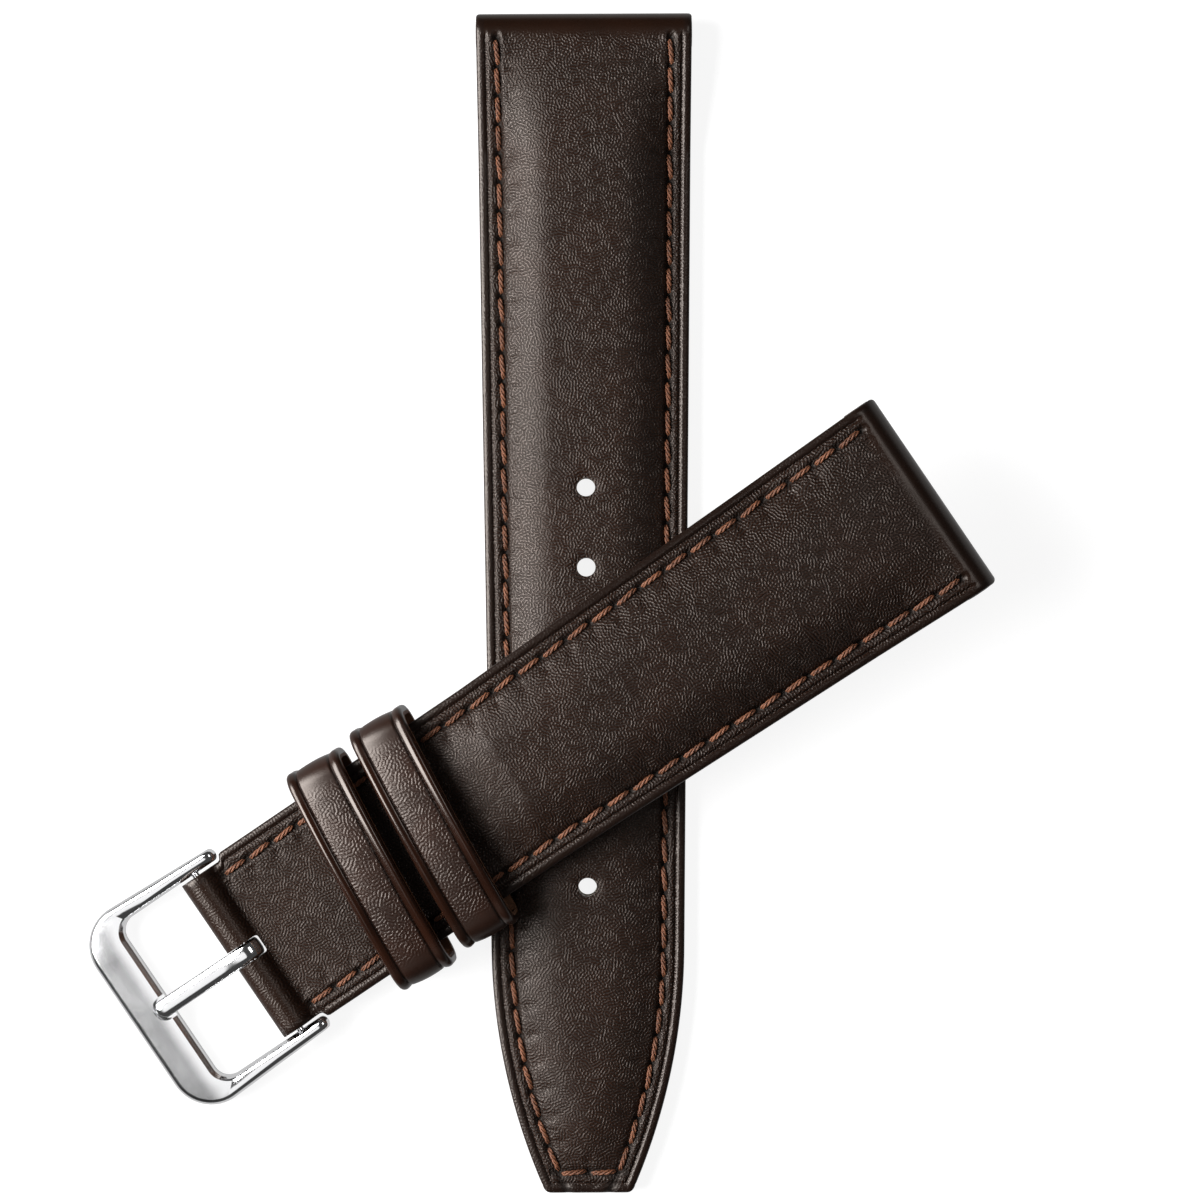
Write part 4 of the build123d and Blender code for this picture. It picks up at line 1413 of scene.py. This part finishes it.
def paleFloor():  # white to the camera, with a faint shadow
    half = studio["floorSize"] / 2
    mesh = bpy.data.meshes.new("floor")
    corners = ((-half, -half), (half, -half), (half, half), (-half, half))
    mesh.from_pydata([(x, y, -studio["floorDrop"]) for x, y in corners], [], [(0, 1, 2, 3)])
    material, sheet = newMaterial("paleFloor")
    seen = sheet.add("ShaderNodeLightPath")
    glossy = seen.other("Is Glossy Ray")
    level = seen * studio["floorGlow"] + glossy * studio["floorMirror"]
    plain = sheet.add("ShaderNodeBsdfDiffuse", {}, {"Color": (0.9, 0.9, 0.9, 1)})
    glow = sheet.add("ShaderNodeEmission", {}, {"Color": (1, 1, 1, 1), "Strength": level})
    both = sheet.add("ShaderNodeMixShader", {}, {0: seen * studio["floorShare"] + glossy, 1: plain, 2: glow})
    sheet.add("ShaderNodeOutputMaterial", {}, {"Surface": both})
    mesh.materials.append(material)
    floor = inScene("floor", mesh)


def sky():  # white to the camera, dim and even on the leather, a grey card for the steel to mirror
    world = bpy.data.worlds.new("studio")
    world.use_nodes = True
    sheet = Sheet(world.node_tree)
    way = {0: sheet.add("ShaderNodeTexCoord", output="Generated"), 1: studio["cardWay"]}
    facing = sheet.add("ShaderNodeVectorMath", {"operation": "DOT_PRODUCT"}, way, output=1)
    inner, outer = (math.cos(math.radians(studio[name])) for name in ("cardInner", "cardOuter"))
    card = facing.ramp(outer, inner) * studio["cardLevel"] + studio["studioDark"]
    seen = sheet.add("ShaderNodeLightPath")
    glossy = seen.other("Is Glossy Ray")
    level = studio["skyLevel"] * (1 - glossy) + card * glossy
    level = level * (1 - seen) + seen
    light = sheet.add("ShaderNodeBackground", {}, {"Color": (1, 1, 1, 1), "Strength": level})
    sheet.add("ShaderNodeOutputWorld", {}, {"Surface": light})
    bpy.context.scene.world = world


def camera():
    height = studio["cameraHeight"]
    view = bpy.data.cameras.new("camera")
    view.sensor_width = 36
    span = studio["pixels"] / studio["pixelsPerMm"] * height / (height - studio["strapHeight"])
    view.lens = view.sensor_width * height / span
    view.clip_start, view.clip_end = 0.01, 10
    holder = inScene("camera", view)
    holder.location = [value * metresPerMm for value in (studio["cameraX"], studio["cameraY"], height)]
    holder.rotation_euler = (0, 0, math.radians(studio["cameraRoll"]))
    bpy.context.scene.camera = holder


softbox("key", studio["keyPlace"], studio["keySize"], studio["keyPower"])
softbox("side", studio["sidePlace"], studio["sideSize"], studio["sidePower"])
paleFloor()
sky()
camera()
bpy.context.scene.view_settings.view_transform = "Standard"
print("studio set")
